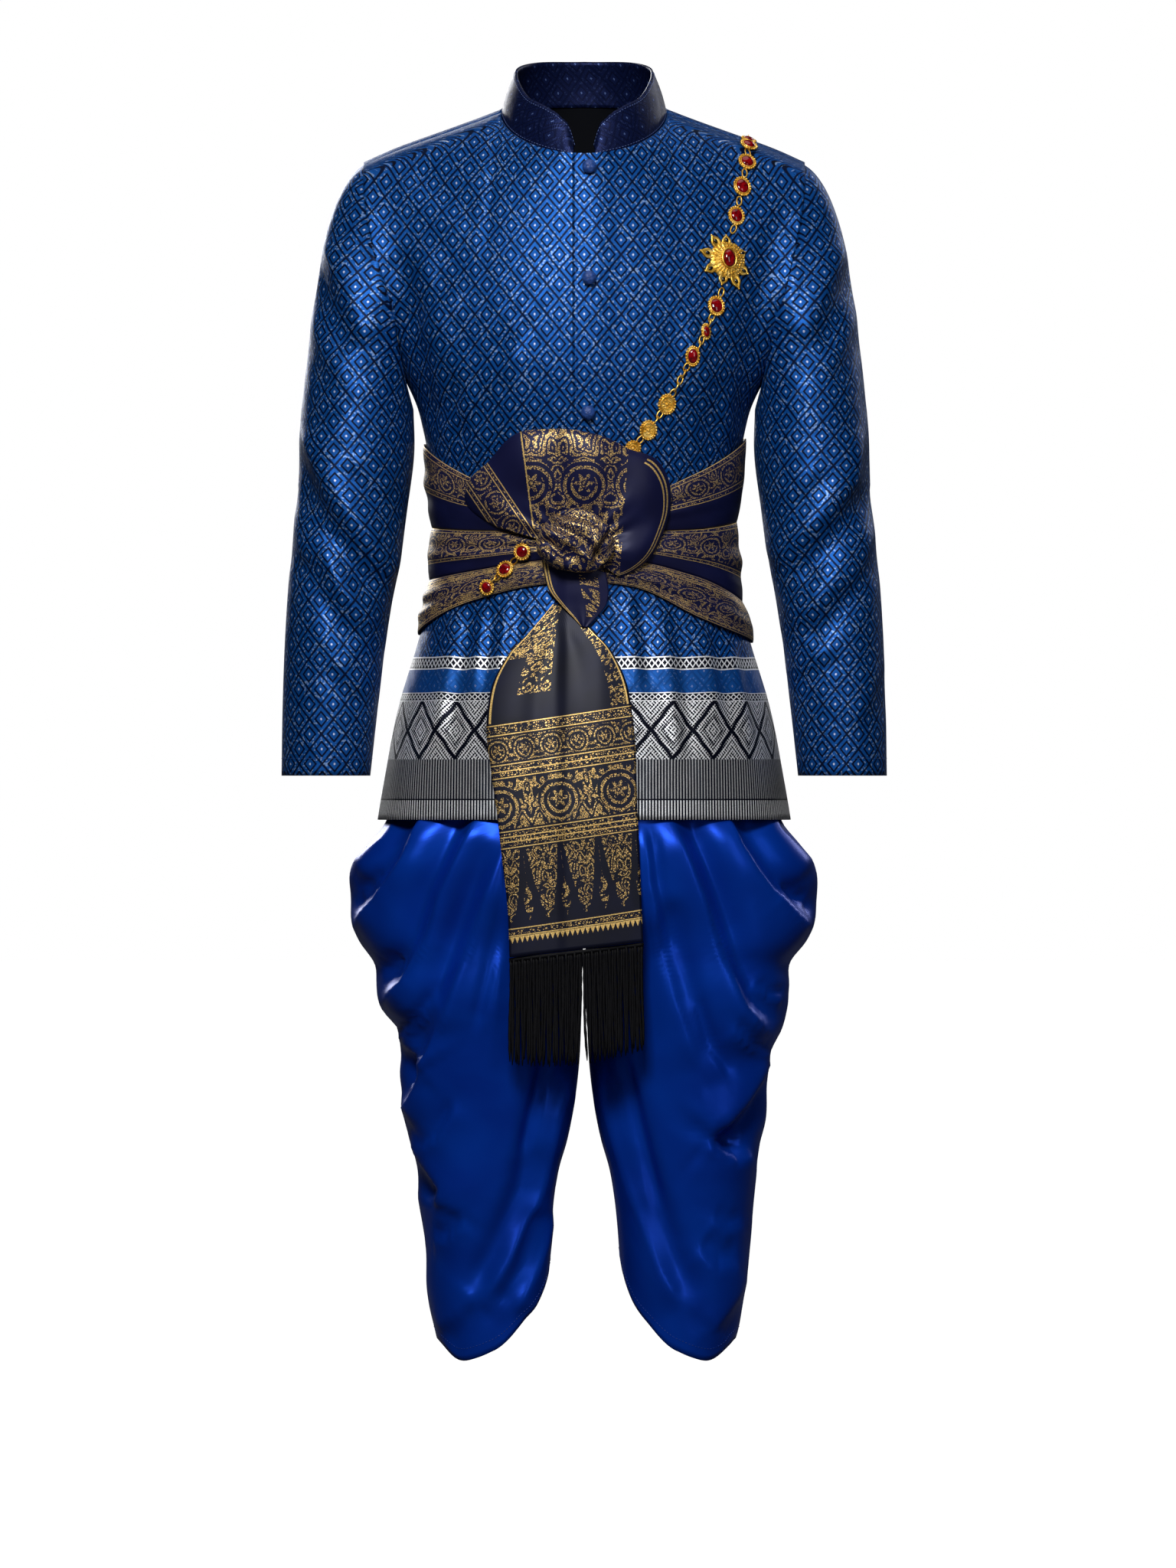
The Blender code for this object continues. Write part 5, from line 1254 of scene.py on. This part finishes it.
def addFlap():
    x, z, at, across = between(flapRows, 44, 40)
    stands = through(at, np.arange(len(flapRows["left"]), dtype=float), flapRows["stands"])
    swell = np.sin(math.pi * across)
    stands = stands + 1.2 * swell + 0.7 * np.sin(across * 9 + at) * swell
    points = places(x, torsoFront(x, z) - lap(x) - stands, z)[::-1]
    fan = np.stack(np.broadcast_arrays(across, at / 5), axis=-1)[::-1]
    cut = {"slot": "sash_satin", "nodes": ["sash_flap"], "wall": sash["wall"], "held": "folded",
           "restsOn": ["sashTurnLower"], "flat": (0.07, 0.08), "share": 0.72}
    addCloth("sashFlap", points, sashSilk("navySashFlap", flapGold), cut, fan=fan)


def tailY(x, z):
    free = np.maximum(jacket["hemZ"] - z, 0)
    onJacket = torsoFront(x, np.maximum(z, jacket["hemZ"])) - lap(x)
    return onJacket - sash["tailStands"] - sash["tailDrift"] * free


def tailGold(tree, u, v):
    # From the lower edge up: black, points and a border, pendants, border, scrolls, borders,
    # brocade and a thin border; above that navy, with a strip of motifs and gold edges.
    teeth = ("LESS_THAN", ("MULTIPLY", ("PINGPONG", u, 2.6), 2.4), ("SUBTRACT", v, 13.0))
    gold = ("MULTIPLY", teeth, within(v, 13.0, 19.5))
    for low, high in ((20, 28), (106, 124), (177, 191), (219, 230)):
        gold = ("MAXIMUM", gold, borderWork(tree, v, u, low, high))
    for low, high in ((112, 113.2), (117, 118.2), (183.5, 184.6)):
        gold = ("MAXIMUM", gold, within(v, low, high))
    brocade = leafWork(tree, u, v, 16.0, 14.0, 205.0, 5.5)
    gold = ("MAXIMUM", gold, ("MULTIPLY", brocade, within(v, 193.0, 217.0)))
    scrolls = leafWork(tree, u, v, 26.0, 31.0, 150.0, 9.5)
    gold = ("MAXIMUM", gold, ("MULTIPLY", scrolls, within(v, 126.0, 175.0)))
    high = ("DIVIDE", ("SUBTRACT", v, 34.0), 72.0)
    big = ("MULTIPLY", ("POWER", ("MAXIMUM", high, 0.0), 0.55), 16.5)
    small = ("MAXIMUM", ("MINIMUM", high, 0.48), 0.0)
    small = ("MULTIPLY", ("SINE", ("MULTIPLY", small, 6.5)), 4.6)
    inBig = ("LESS_THAN", ("PINGPONG", ("ADD", u, 24.0), 19.5), big)
    inSmall = ("LESS_THAN", ("SUBTRACT", 19.5, ("PINGPONG", ("ADD", u, 24.0), 19.5)), small)
    pendants = ("MULTIPLY", ("MAXIMUM", inBig, inSmall), within(v, 34.0, 105.0))
    gold = ("MAXIMUM", gold, ("MULTIPLY", leafWork(tree, u, v, 17.0, 19.5), pendants))
    across, along = clothPlace(tree, "fan")
    strip = ("MULTIPLY", within(across, 0.2, 0.44), within(v, 258.0, 356.0))
    rightEdge = ("MULTIPLY", within(across, 0.86, 0.97), ("GREATER_THAN", v, 232.0))
    leftEdge = ("MULTIPLY", ("LESS_THAN", across, 0.2), ("GREATER_THAN", v, 300.0))
    upper = ("MAXIMUM", strip, ("MAXIMUM", rightEdge, leftEdge))
    gold = ("MAXIMUM", gold, ("MULTIPLY", leafWork(tree, u, v, 15.0, 9.0), upper))
    lines = ("MAXIMUM", within(across, 0.972, 0.985), within(across, 0.015, 0.03))
    lines = ("MULTIPLY", lines, ("GREATER_THAN", v, 232.0))
    return addNode(tree, "Math", gold, lines, operation="MAXIMUM").outputs[0]


def addTail():
    x, z, at, across = between(tailRows, 130, 56)
    soft = 1.6 * (1 + np.cos(across * 2.5 * math.pi)) * ease((at - 2) / 3)
    crease = np.exp(-(((across - 0.38 - 0.05 * np.sin(at)) / 0.07) ** 2))
    soft = soft + 1.4 * crease * ease((at - 1.5) / 2) * ease((8 - at) / 3)
    soft = soft + 1.5 * np.exp(-(((across - 0.62) / 0.1) ** 2)) * ease((at - 1) / 2) * ease((6 - at) / 3)
    points = places(x, tailY(x, z) - soft, z)[::-1]
    up = lengthsAlong(points, 0).mean(axis=1)[:, None]
    slant = through(points[..., 2], tailSlant["z"], tailSlant["rise"]) * across
    uv = np.stack([lengthsAlong(points, 1) - 66, up - slant], axis=-1)
    fan = np.stack(np.broadcast_arrays(across, at), axis=-1)[::-1]
    cut = {"slot": "sash_brocade", "nodes": ["sash_tail"], "wall": sash["wall"], "held": "hung",
           "restsOn": ["jacketFrontRight", "jacketFrontLeft"], "flat": (0.16, 0.37), "share": 0.85}
    # The tail's navy ground is darker than the rest of the sash's: painted shade on the same navy.
    brocade = sashSilk("goldBrocadeTail", tailGold, ("#070918", "#0c1028"))
    addCloth("sashTail", points, brocade, cut, uv, fan=fan)
    print("tail made")


fringe = {"columns": 46, "rows": 2, "rings": 17, "sides": 6, "thick": 1.32, "tipZ": -966, "left": -76.5,
          "right": 60.5, "footZ": -860, "slope": 16.0, "ribbon": 4.2}


def fringeYarn():
    # Rayon yarn, plied: near black, with a dull gloss along the twist.
    made, tree, shader = newMaterial("blackPliedYarn")
    place = addNode(tree, "TexCoord").outputs["Object"]
    stretched = addNode(tree, "Mapping", place, Scale=(1400.0, 1400.0, 500.0))
    ply = addNode(tree, "TexNoise", stretched, Scale=1.0, Detail=2.0)
    colour = addNode(tree, "ValToRGB", ply, ramp=[(0.35, "#020203"), (0.7, "#0b0b10")])
    tree.links.new(colour.outputs[0], shader.inputs["Base Color"])
    bump = addNode(tree, "Bump", Height=ply.outputs[0], Strength=0.5, Distance=0.0003)
    tree.links.new(bump.outputs[0], shader.inputs["Normal"])
    shader.inputs["Roughness"].default_value = 0.62
    shader.inputs["Specular IOR Level"].default_value = 0.12
    return made


def addFringe():
    # Each strand is a tube down a gently bent line: rings of points, narrowed at the tip, with a
    # pole at each end. They hang in two rows from a narrow ribbon.
    strand = np.arange(fringe["columns"] * fringe["rows"])
    share = (strand // fringe["rows"] + 0.5 + 0.3 * (strand % 2)) / (fringe["columns"] + 0.3)
    rootX = fringe["left"] + (fringe["right"] - fringe["left"]) * share
    rootZ = fringe["footZ"] + fringe["slope"] * share - 2.0
    tip = fringe["tipZ"] - 8 * np.sin(math.pi * share) + 15 * share + 3.5 * np.sin(strand * 2.4)
    t = np.linspace(0, 1, fringe["rings"])[:, None]
    part = np.where(rootX > -2, 1.0, -1.0) * (1.0 + 3.2 * np.exp(-(((rootX + 2) / 7) ** 2)))
    x = rootX + (part + 1.3 * np.sin(strand * 1.7)) * t**1.5 + 0.5 * np.sin(t * 7 + strand)
    z = rootZ + (tip - rootZ) * t
    y = tailY(x, z) + 0.6 + 1.1 * (strand % 2) + 0.4 * np.sin(t * 5 + strand * 2.1)
    turn = -np.linspace(0, 2 * math.pi, fringe["sides"], endpoint=False)[:, None, None] + 8 * t
    size = fringe["thick"] * (1 + 0.16 * np.sin(t * 60 + strand)) * (1 - 0.6 * ease((t - 0.9) / 0.1))
    rings = places(x + size * np.cos(turn), y + size * np.sin(turn) * 0.85, z + 0 * turn)
    rings = rings.transpose(2, 1, 0, 3).reshape(len(strand), -1, 3)
    ends = places(x, y, z)[[0, -1]].transpose(1, 0, 2)
    faces = endedFaces(fringe["rings"], fringe["sides"])
    parts = [(np.concatenate([ring, pole]), faces) for ring, pole in zip(rings, ends)]
    along = np.linspace(0, 1, 40)
    edgeX = fringe["left"] + (fringe["right"] - fringe["left"]) * along
    edgeZ = fringe["footZ"] + fringe["slope"] * along - 0.7
    low = edgeZ - fringe["ribbon"]
    bandY = tailY(edgeX, edgeZ)
    corners = np.stack([places(edgeX, bandY - 0.5, edgeZ), places(edgeX, bandY - 0.5, low),
                        places(edgeX, bandY + 1.6, low), places(edgeX, bandY + 1.6, edgeZ)], axis=1)
    caps = corners[[0, -1]].mean(axis=1)
    parts.append((np.concatenate([corners.reshape(-1, 3), caps]), endedFaces(len(along), 4)))
    addPiece("sashFringe", joinedMesh("sashFringe", parts), fringeYarn(), "fringe_yarn", "sash_fringe")
    print("fringe made:", len(strand), "strands")


# The chain, its stones and the buttons, seated on the cloth made above

chainRows = "x z wide high tilt lift stone"
chainUpper = table(
    chainRows, (167.3, -24.5, 16.5, 13, 76, 2.4, 1), (167.6, -38, 17, 16, 38, 2.2, 1),
    (166, -54, 17.6, 17, 14, 1.4, 1),
    (161, -76.5, 17.6, 19.8, 5, 0.8, 1), (155, -103, 16.5, 18.7, 0, 0.6, 1))
chainMiddle = table(
    chainRows, (134.3, -196, 16.5, 19.8, 0, 0.6, 1), (123.3, -222, 10.5, 15.5, 0, 0.6, 1),
    (110.5, -247, 13.7, 19.8, 0, 0.6, 1), (84, -296, 17.6, 20, 0, 0.6, 0), (65, -322.5, 17, 19, 0, 0.6, 0),
    (49.5, -341, 15, 15, 0, 0.6, 0))
chainLower = table(
    chainRows, (-62.9, -446.8, 16, 16, 0, 0.6, 1), (-80.2, -465, 17, 17, 0, 0.6, 1),
    (-98.7, -482.9, 15, 15, 0, 0.6, 1))
chainBack = table(
    "x y z tilt", (167.6, -10, -28, 80), (167.4, 3, -24, 85), (166.5, 14, -26, 75), (164, 30, -40, 50),
    (158, 60, -66, 15), (146, 60, -88, 0), (118, 60, -118, 0), (76, 60, -158, 0), (30, 60, -202, 0),
    (-16, 60, -246, 0), (-58, 60, -286, 0), (-92, 60, -319, 0),
    (-107, 60, -334, 0))
chain = {"grow": 1.08, "plate": 1.7, "bead": 1.25, "wire": 0.82,
         "linkWide": 5.4, "linkLong": 10.0, "linkStep": 7.6, "linkLift": 1.5,
         "backWide": 4.0, "backLong": 6.4, "backStep": 4.6}
# The brooch: its rays' directions as seen, with each tip's reach.
brooch = {
    "x": 145.8, "z": -148.5, "lift": 0.6,
    "rays": ((90, 26), (123, 31), (162, 32), (204, 29), (252, 27.5), (290, 32), (327, 26.5), (23, 22)),
    "body": 19.0, "plate": 2.0, "stoneWide": 13.0, "stoneLong": 17.6, "stoneShift": (0.5, 1.5),
}
buttons = table("x z size", (5, -54.6, 14.6), (5, -168, 14.6), (4, -304.7, 14.6))


def treeOf(*names):
    # The outer faces of pieces made above, to seat others on.
    vertices, faces, start = [], [], 0
    for name in names:
        data = bpy.data.objects[name].data
        points = np.empty(len(data.vertices) * 3, np.float32)
        data.vertices.foreach_get("co", points)
        corners = np.empty(len(data.loops), np.int32)
        data.loops.foreach_get("vertex_index", corners)
        vertices.append(points.reshape(-1, 3))
        faces.append(corners.reshape(-1, 4) + start)
        start += len(data.vertices)
    return BVHTree.FromPolygons(np.concatenate(vertices).tolist(), np.concatenate(faces).tolist())


def seatOn(tree, x, z, lift, tilt=0.0, up=(0, 0, 1), behind=False, deep=-14.0):
    # Where a level or tilted ray meets the cloth, as (place, across, up, out) in mm.
    lean = math.radians(tilt)
    ray = Vector((0, -math.cos(lean) if behind else math.cos(lean), -math.sin(lean)))
    place, out = tree.ray_cast(Vector((x, deep, z)) * mm - ray * 0.4, ray)[:2]
    out = np.array(out if out.dot(ray) < 0 else -out)
    across = np.cross(up, out)
    across = across / max(np.linalg.norm(across), 1e-6)
    return np.array(place) / mm + out * lift, across, np.cross(out, across), out


def medallion(seat, wide, high, stone):
    # A gold oval with a beaded rim and a bezel; with no stone, a smaller beaded ring and a boss.
    gold = [seated(turned((0, 0.8, 0.98, 0.98, 0.84, 0.6, 0), (0, 0, 0.5, 1.1, chain["plate"], 1.4, 1.4), 22,
                          wide / 2, high / 2), seat)]
    beads = round(math.pi * (wide + high) / 2 / 3.0)
    for i in range(beads):
        turn = 2 * math.pi * i / beads
        at = (0.93 * wide / 2 * math.cos(turn), 0.93 * high / 2 * math.sin(turn), chain["plate"] * 0.8)
        gold.append(seated(ball(chain["bead"] * (1.0 + 0.2 * (i % 2)), 7, 4), seat, at))
    gold.append(seated(hoop(0.74 * wide, 0.74 * high, 0.6, 20, 5), seat, (0, 0, chain["plate"] + 0.5)))
    if stone:
        gem = turned((0, 1, 1, 0.93, 0.72, 0.4, 0), (1.3, 1.3, 2.0, 2.9, 3.7, 4.2, 4.35), 20,
                     0.35 * wide, 0.35 * high)
        return gold, [seated(gem, seat)]
    for i in range(9):
        turn = 2 * math.pi * i / 9
        at = (0.2 * wide * math.cos(turn), 0.2 * high * math.sin(turn), 1.9)
        gold.append(seated(ball(0.95, 6, 3), seat, at))
    gold.append(seated(ball(1.7, 8, 4), seat, (0, 0, 1.8)))
    return gold, []


def linksBetween(tree, first, last, lift, size, step, tilts=(0, 0), behind=False, deep=-14.0):
    # Oval wire links from one place to another, flat and on edge in turn.
    run = np.array(last) - np.array(first)
    count = max(1, round(np.hypot(*run) / step))
    made = []
    for i in range(count):
        share = (i + 0.5) / count
        x, z = np.array(first) + run * share
        tilt = tilts[0] + (tilts[1] - tilts[0]) * share
        up = (run[0], 0.0, run[1] - 1e-3)
        place, across, along, out = seatOn(tree, x, z, lift, tilt, up, behind, deep)
        if i % 2:
            across, out = out, -across
        # The seat's own up lies along the run.
        made.append(seated(hoop(size[0], size[1], chain["wire"], 16, 6), (place, across, along, out)))
    return made


def chainRun(name, rows, tree, node, gold):
    parts, stones = [], []
    count = len(rows["x"])
    for i in range(count):
        x, z, wide, high, tilt, lift, stone = (rows[key][i] for key in chainRows.split())
        seat = seatOn(tree, x, z, lift, tilt)
        made, gem = medallion(seat, wide * chain["grow"], high * chain["grow"], stone)
        parts += made
        stones += gem
        if i + 1 < count:
            far = np.array((rows["x"][i + 1] - x, rows["z"][i + 1] - z))
            way = far / np.hypot(*far)
            first = np.array((x, z)) + way * (high / 2 - 1.2)
            last = np.array((rows["x"][i + 1], rows["z"][i + 1])) - way * (rows["high"][i + 1] / 2 - 1.2)
            parts += linksBetween(tree, first, last, chain["linkLift"],
                                  (chain["linkWide"], chain["linkLong"]), chain["linkStep"],
                                  (tilt, rows["tilt"][i + 1]))
    addPiece(name, joinedMesh(name, parts), gold, "gold_plate", node)
    return stones


def broochParts(tree):
    # A domed body with a scalloped edge, beaded petals, and pointed rays, each with a dark stone.
    seat = seatOn(tree, brooch["x"], brooch["z"], brooch["lift"])
    around = 96
    turn = np.linspace(0, 2 * math.pi, around, endpoint=False)
    edge = 1 + 0.055 * np.abs(np.sin(turn * 8))
    shares = np.array([0.9, 1.0, 0.98, 0.9, 0.74, 0.56, 0.4])[:, None]
    ribs = 0.32 * np.cos(turn * 24)
    height = np.array([0, 0.4, 1.4, 2.2, 3.0, 4.0, 4.4])[:, None]
    height = height + ribs * np.array([0, 0, 0.4, 1, 1, 0.6, 0])[:, None]
    radius = brooch["body"] * edge * shares
    body = places(radius * np.cos(turn), radius * np.sin(turn), height)
    poles = places(0.0, 0.0, np.array([0.0, 4.4]))
    gold = [seated((np.concatenate([body.reshape(-1, 3), poles]), endedFaces(7, around)), seat)]
    dark = []
    for angle, reach in brooch["rays"]:
        way = math.radians(angle)
        half = (reach - brooch["body"] * 0.72) / 2
        middle = brooch["body"] * 0.72 + half
        at = (middle * math.cos(way), middle * math.sin(way), 0.2)
        outline = np.linspace(0, 2 * math.pi, 24, endpoint=False)
        point = 1 - 0.62 * ease((np.cos(outline) - 0.1) / 0.9)
        rings = []
        for size, up in ((0.92, 0), (1.0, 0.4), (1.0, 1.5), (0.8, 2.1), (0.62, 1.7)):
            rings.append(places(half * size * np.cos(outline), 5.2 * size * point * np.sin(outline), up))
        ray = np.concatenate([np.concatenate(rings), places(0.0, 0.0, np.array([0.0, 1.6]))])
        gold.append(seated((ray, endedFaces(5, 24)), seat, at, way))
        at = ((reach - 0.6) * math.cos(way), (reach - 0.6) * math.sin(way), 1.2)
        gold.append(seated(ball(1.3, 7, 4), seat, at))
        stone = turned((0, 1, 0.8, 0), (1.4, 1.9, 2.6, 2.9), 14, 2.7, 1.9)
        at = ((middle + 0.6) * math.cos(way), (middle + 0.6) * math.sin(way), 0.3)
        dark.append(seated(stone, seat, at, way))
    for count, reach, size, up in ((40, 0.93, 0.85, 2.1), (32, 0.76, 0.95, 3.1), (24, 0.58, 0.9, 4.1)):
        for i in range(count):
            way = 2 * math.pi * i / count
            wobble = 1 + 0.035 * math.cos(way * 8)
            radius = brooch["body"] * reach * wobble
            at = (radius * math.cos(way), radius * math.sin(way), up)
            gold.append(seated(ball(size, 6, 3), seat, at))
    x, y = brooch["stoneShift"]
    wide, long = brooch["stoneWide"], brooch["stoneLong"]
    gold.append(seated(hoop(wide + 2.6, long + 2.6, 1.3, 30, 6), seat, (x, y, 5.0)))
    rope = 34
    for i in range(rope):
        way = 2 * math.pi * i / rope
        at = (x + (wide / 2 + 2.9) * math.cos(way), y + (long / 2 + 2.9) * math.sin(way), 4.6)
        gold.append(seated(ball(0.75, 6, 3), seat, at))
    gem = turned((0, 1, 1, 0.92, 0.7, 0.4, 0), (3.6, 3.6, 5.2, 6.6, 7.8, 8.4, 8.6), 28, wide / 2, long / 2)
    return gold, [seated(gem, seat, (x, y, 0.0))], dark


def addBackChain(tree, gold):
    # Links along a smooth route over the shoulder and across the back into the sash.
    keys = np.arange(len(chainBack["x"]), dtype=float)
    at = np.linspace(0, keys[-1], 600)
    route = places(*(through(at, keys, chainBack[key]) for key in "xyz"))
    tilt = through(at, keys, chainBack["tilt"])
    spots = []
    for i in range(0, len(at), 6):
        place, _, _, out = seatOn(tree, route[i, 0], route[i, 2], 1.9, tilt[i], (0, 0, 1), True, route[i, 1])
        spots.append((place, out))
    line = np.array([place for place, _ in spots])
    outs = np.array([out for _, out in spots])
    length = np.concatenate([[0], np.cumsum(np.linalg.norm(np.diff(line, axis=0), axis=1))])
    count = round(length[-1] / chain["backStep"])
    stops = (np.arange(count) + 0.5) * length[-1] / count
    parts = []
    for i, stop in enumerate(stops):
        place = np.array([np.interp(stop, length, line[:, k]) for k in range(3)])
        out = np.array([np.interp(stop, length, outs[:, k]) for k in range(3)])
        ahead = np.array([np.interp(stop + 1, length, line[:, k]) for k in range(3)])
        behind = np.array([np.interp(stop - 1, length, line[:, k]) for k in range(3)])
        along = ahead - behind
        along = along / max(np.linalg.norm(along), 1e-6)
        across = np.cross(along, out)
        across = across / max(np.linalg.norm(across), 1e-6)
        out = np.cross(across, along)
        if i % 2:
            across, out = out, -across
        link = hoop(chain["backWide"], chain["backLong"], 0.6, 14, 5)
        parts.append(seated(link, (place, across, along, out)))
    addPiece("chainBack", joinedMesh("chainBack", parts), gold, "gold_plate", "chain_back")
    print("back chain made:", count, "links")


def addChain(gold, ruby, darkStone):
    jacketTree = treeOf("jacketFrontLeft", "jacketFrontRight", "jacketBack", "sleeveLeft")
    sashTree = treeOf("sashTurnUpper", "sashTurnMiddle", "sashTurnLower")
    stones = chainRun("chainFrontUpper", chainUpper, jacketTree, "chain_front_upper", gold)
    goldParts, gem, dark = broochParts(jacketTree)
    ends = ((155, -111.5), (148.5, -122.5)), ((141.5, -176), (136.5, -187.5))
    for first, last in ends:
        goldParts += linksBetween(jacketTree, first, last, chain["linkLift"] + 0.6,
                                  (chain["linkWide"], chain["linkLong"]), 10.0)
    addPiece("chainBrooch", joinedMesh("chainBrooch", goldParts), gold, "gold_plate", "chain_brooch")
    stones += gem
    stones += chainRun("chainFrontMiddle", chainMiddle, jacketTree, "chain_front_middle", gold)
    stones += chainRun("chainFrontLower", chainLower, sashTree, "chain_front_lower", gold)
    addBackChain(treeOf("jacketBack", "jacketFrontLeft"), gold)
    gems = [f"gem_{i:02d}" for i in range(1, 12)]
    addPiece("rubies", joinedMesh("rubies", stones), ruby, "ruby_glass", *gems)
    addPiece("broochDarkStones", joinedMesh("broochDarkStones", dark), darkStone, "ruby_glass")
    print("chain made:", len(stones), "stones")


def addButtons(cord):
    # A ball tied from cloth cord: a sphere with three bands of rope-like ridges wound round it.
    tree = treeOf("jacketFrontLeft")
    parts = []
    lean = np.linspace(-math.pi / 2, math.pi / 2, 26)[1:-1, None]
    turn = np.linspace(0, 2 * math.pi, 40, endpoint=False)
    for x, z, size in zip(buttons["x"], buttons["z"], buttons["size"]):
        seat = seatOn(tree, x, z, size * 0.36)
        ridges = 0.06 * np.abs(np.sin(3 * lean + 2 * turn)) + 0.05 * np.abs(np.sin(3 * lean - 2 * turn + 0.8))
        reach = size / 2 * (0.93 + ridges)
        level = reach * np.cos(lean)
        points = places(level * np.cos(turn), level * np.sin(turn), reach * np.sin(lean) * 0.8)
        poles = places(0.0, 0.0, np.array([-0.38, 0.4]) * size)
        parts.append(seated((np.concatenate([points.reshape(-1, 3), poles]), endedFaces(24, 40)), seat))
        parts.append(seated(hoop(size * 0.62, size * 0.62, 1.2, 24, 7), seat, (0, 0, -size * 0.3)))
    addPiece("clothButtons", joinedMesh("clothButtons", parts), cord, "collar_silk",
             "button_1", "button_2", "button_3")
    print("buttons made")


# Sewing

stitch = {"long": 2.3, "gap": 1.3, "thick": 0.28}


def stitches(points, facing):
    # Short threads along a line on the cloth, each a closed spindle that dips in at both ends.
    length = lengthsAlong(points, 0)
    count = int(length[-1] / (stitch["long"] + stitch["gap"]))
    middle = (np.arange(count) + 0.5) * length[-1] / count
    place = np.stack([np.interp(middle, length, points[:, k]) for k in range(3)], -1)
    ahead = np.stack([np.interp(middle + 0.6, length, points[:, k]) for k in range(3)], -1)
    out = np.stack([np.interp(middle, length, facing[:, k]) for k in range(3)], -1)
    along = ahead - place
    along = along / np.maximum(np.linalg.norm(along, axis=-1, keepdims=True), 1e-6)
    across = np.cross(along, out)
    shape, faces = turned((0, 1, 1, 0), (-0.5, -0.3, 0.3, 0.5), 5)
    thick = stitch["thick"]
    made = place[:, None] + out[:, None] * thick * 0.4
    made = made + shape[:, :1] * thick * across[:, None] + shape[:, 1:2] * thick * out[:, None]
    made = made + shape[:, 2:] * stitch["long"] * along[:, None]
    return [(points, faces) for points in made]


def addStitches(name, lines, thread, slot):
    parts = []
    for points, facing in lines:
        parts += stitches(points, facing)
    addPiece(name, joinedMesh(name, parts), thread, slot)
    return len(parts)


def rowNear(points, z):
    # The row of a grid whose middle height is nearest to z, with the cloth's directions there.
    row = int(np.abs(points[..., 2].mean(axis=1) - z).argmin())
    return points[row], outward(points)[row]


def columnOf(points, column, first=0, last=None):
    return points[first:last, column], outward(points)[first:last, column]


# The pieces in order, with their finishes

lining = liningTwill()
# The colour before the hem flag is each silk's painted glint.
silk = jacquardSilk("jacquardSilk", "#e6effa", "#1258a8", "#020b22", "#145cae", "#051838", "#b4d2f4", True)
collarSilk = jacquardSilk("collarSilk", "#5f75ac", "#17234f", "#0e173a", "#15204a", "#0f193e", "#32406e",
                          False)
over, under, back = addJacket(silk, lining)
sleeves = addSleeves(silk, lining)
collarGrid = addCollar(collarSilk)
legs = addTrousers(trouserSatin())
addWraps()
addLoop()
addFlap()
addTail()
addKnot()
addFringe()
addButtons(spunThread("blueSilkCord", "#0f2452", "#2450a0"))
addChain(goldPlate(), rubyGlass("rubyGlass", "#96040f", "#4d0106"),
         rubyGlass("blackGlass", "#0c0a0c", "#020202"))
sewn = addStitches("collarSewing", [rowNear(collarGrid, collarGrid[12, :, 2].mean()),
                                    rowNear(collarGrid, collarGrid[1, :, 2].mean())],
                   spunThread("navyThread", "#3c5088", "#6a80b8"), "collar_silk")
blueThread = spunThread("blueThread", "#142c5c", "#2f5aa0")
sewn += addStitches("jacketSewing", [columnOf(over, 1, 14), *(rowNear(points, -655) for points in sleeves)],
                    blueThread, "jacquard_silk")
sewn += addStitches("trouserSewing", [(points[2], outward(points)[2]) for points in legs],
                    spunThread("royalThread", "#06205f", "#1c46ad"), "trouser_satin")
print("stitches made:", sewn)

print("all made")
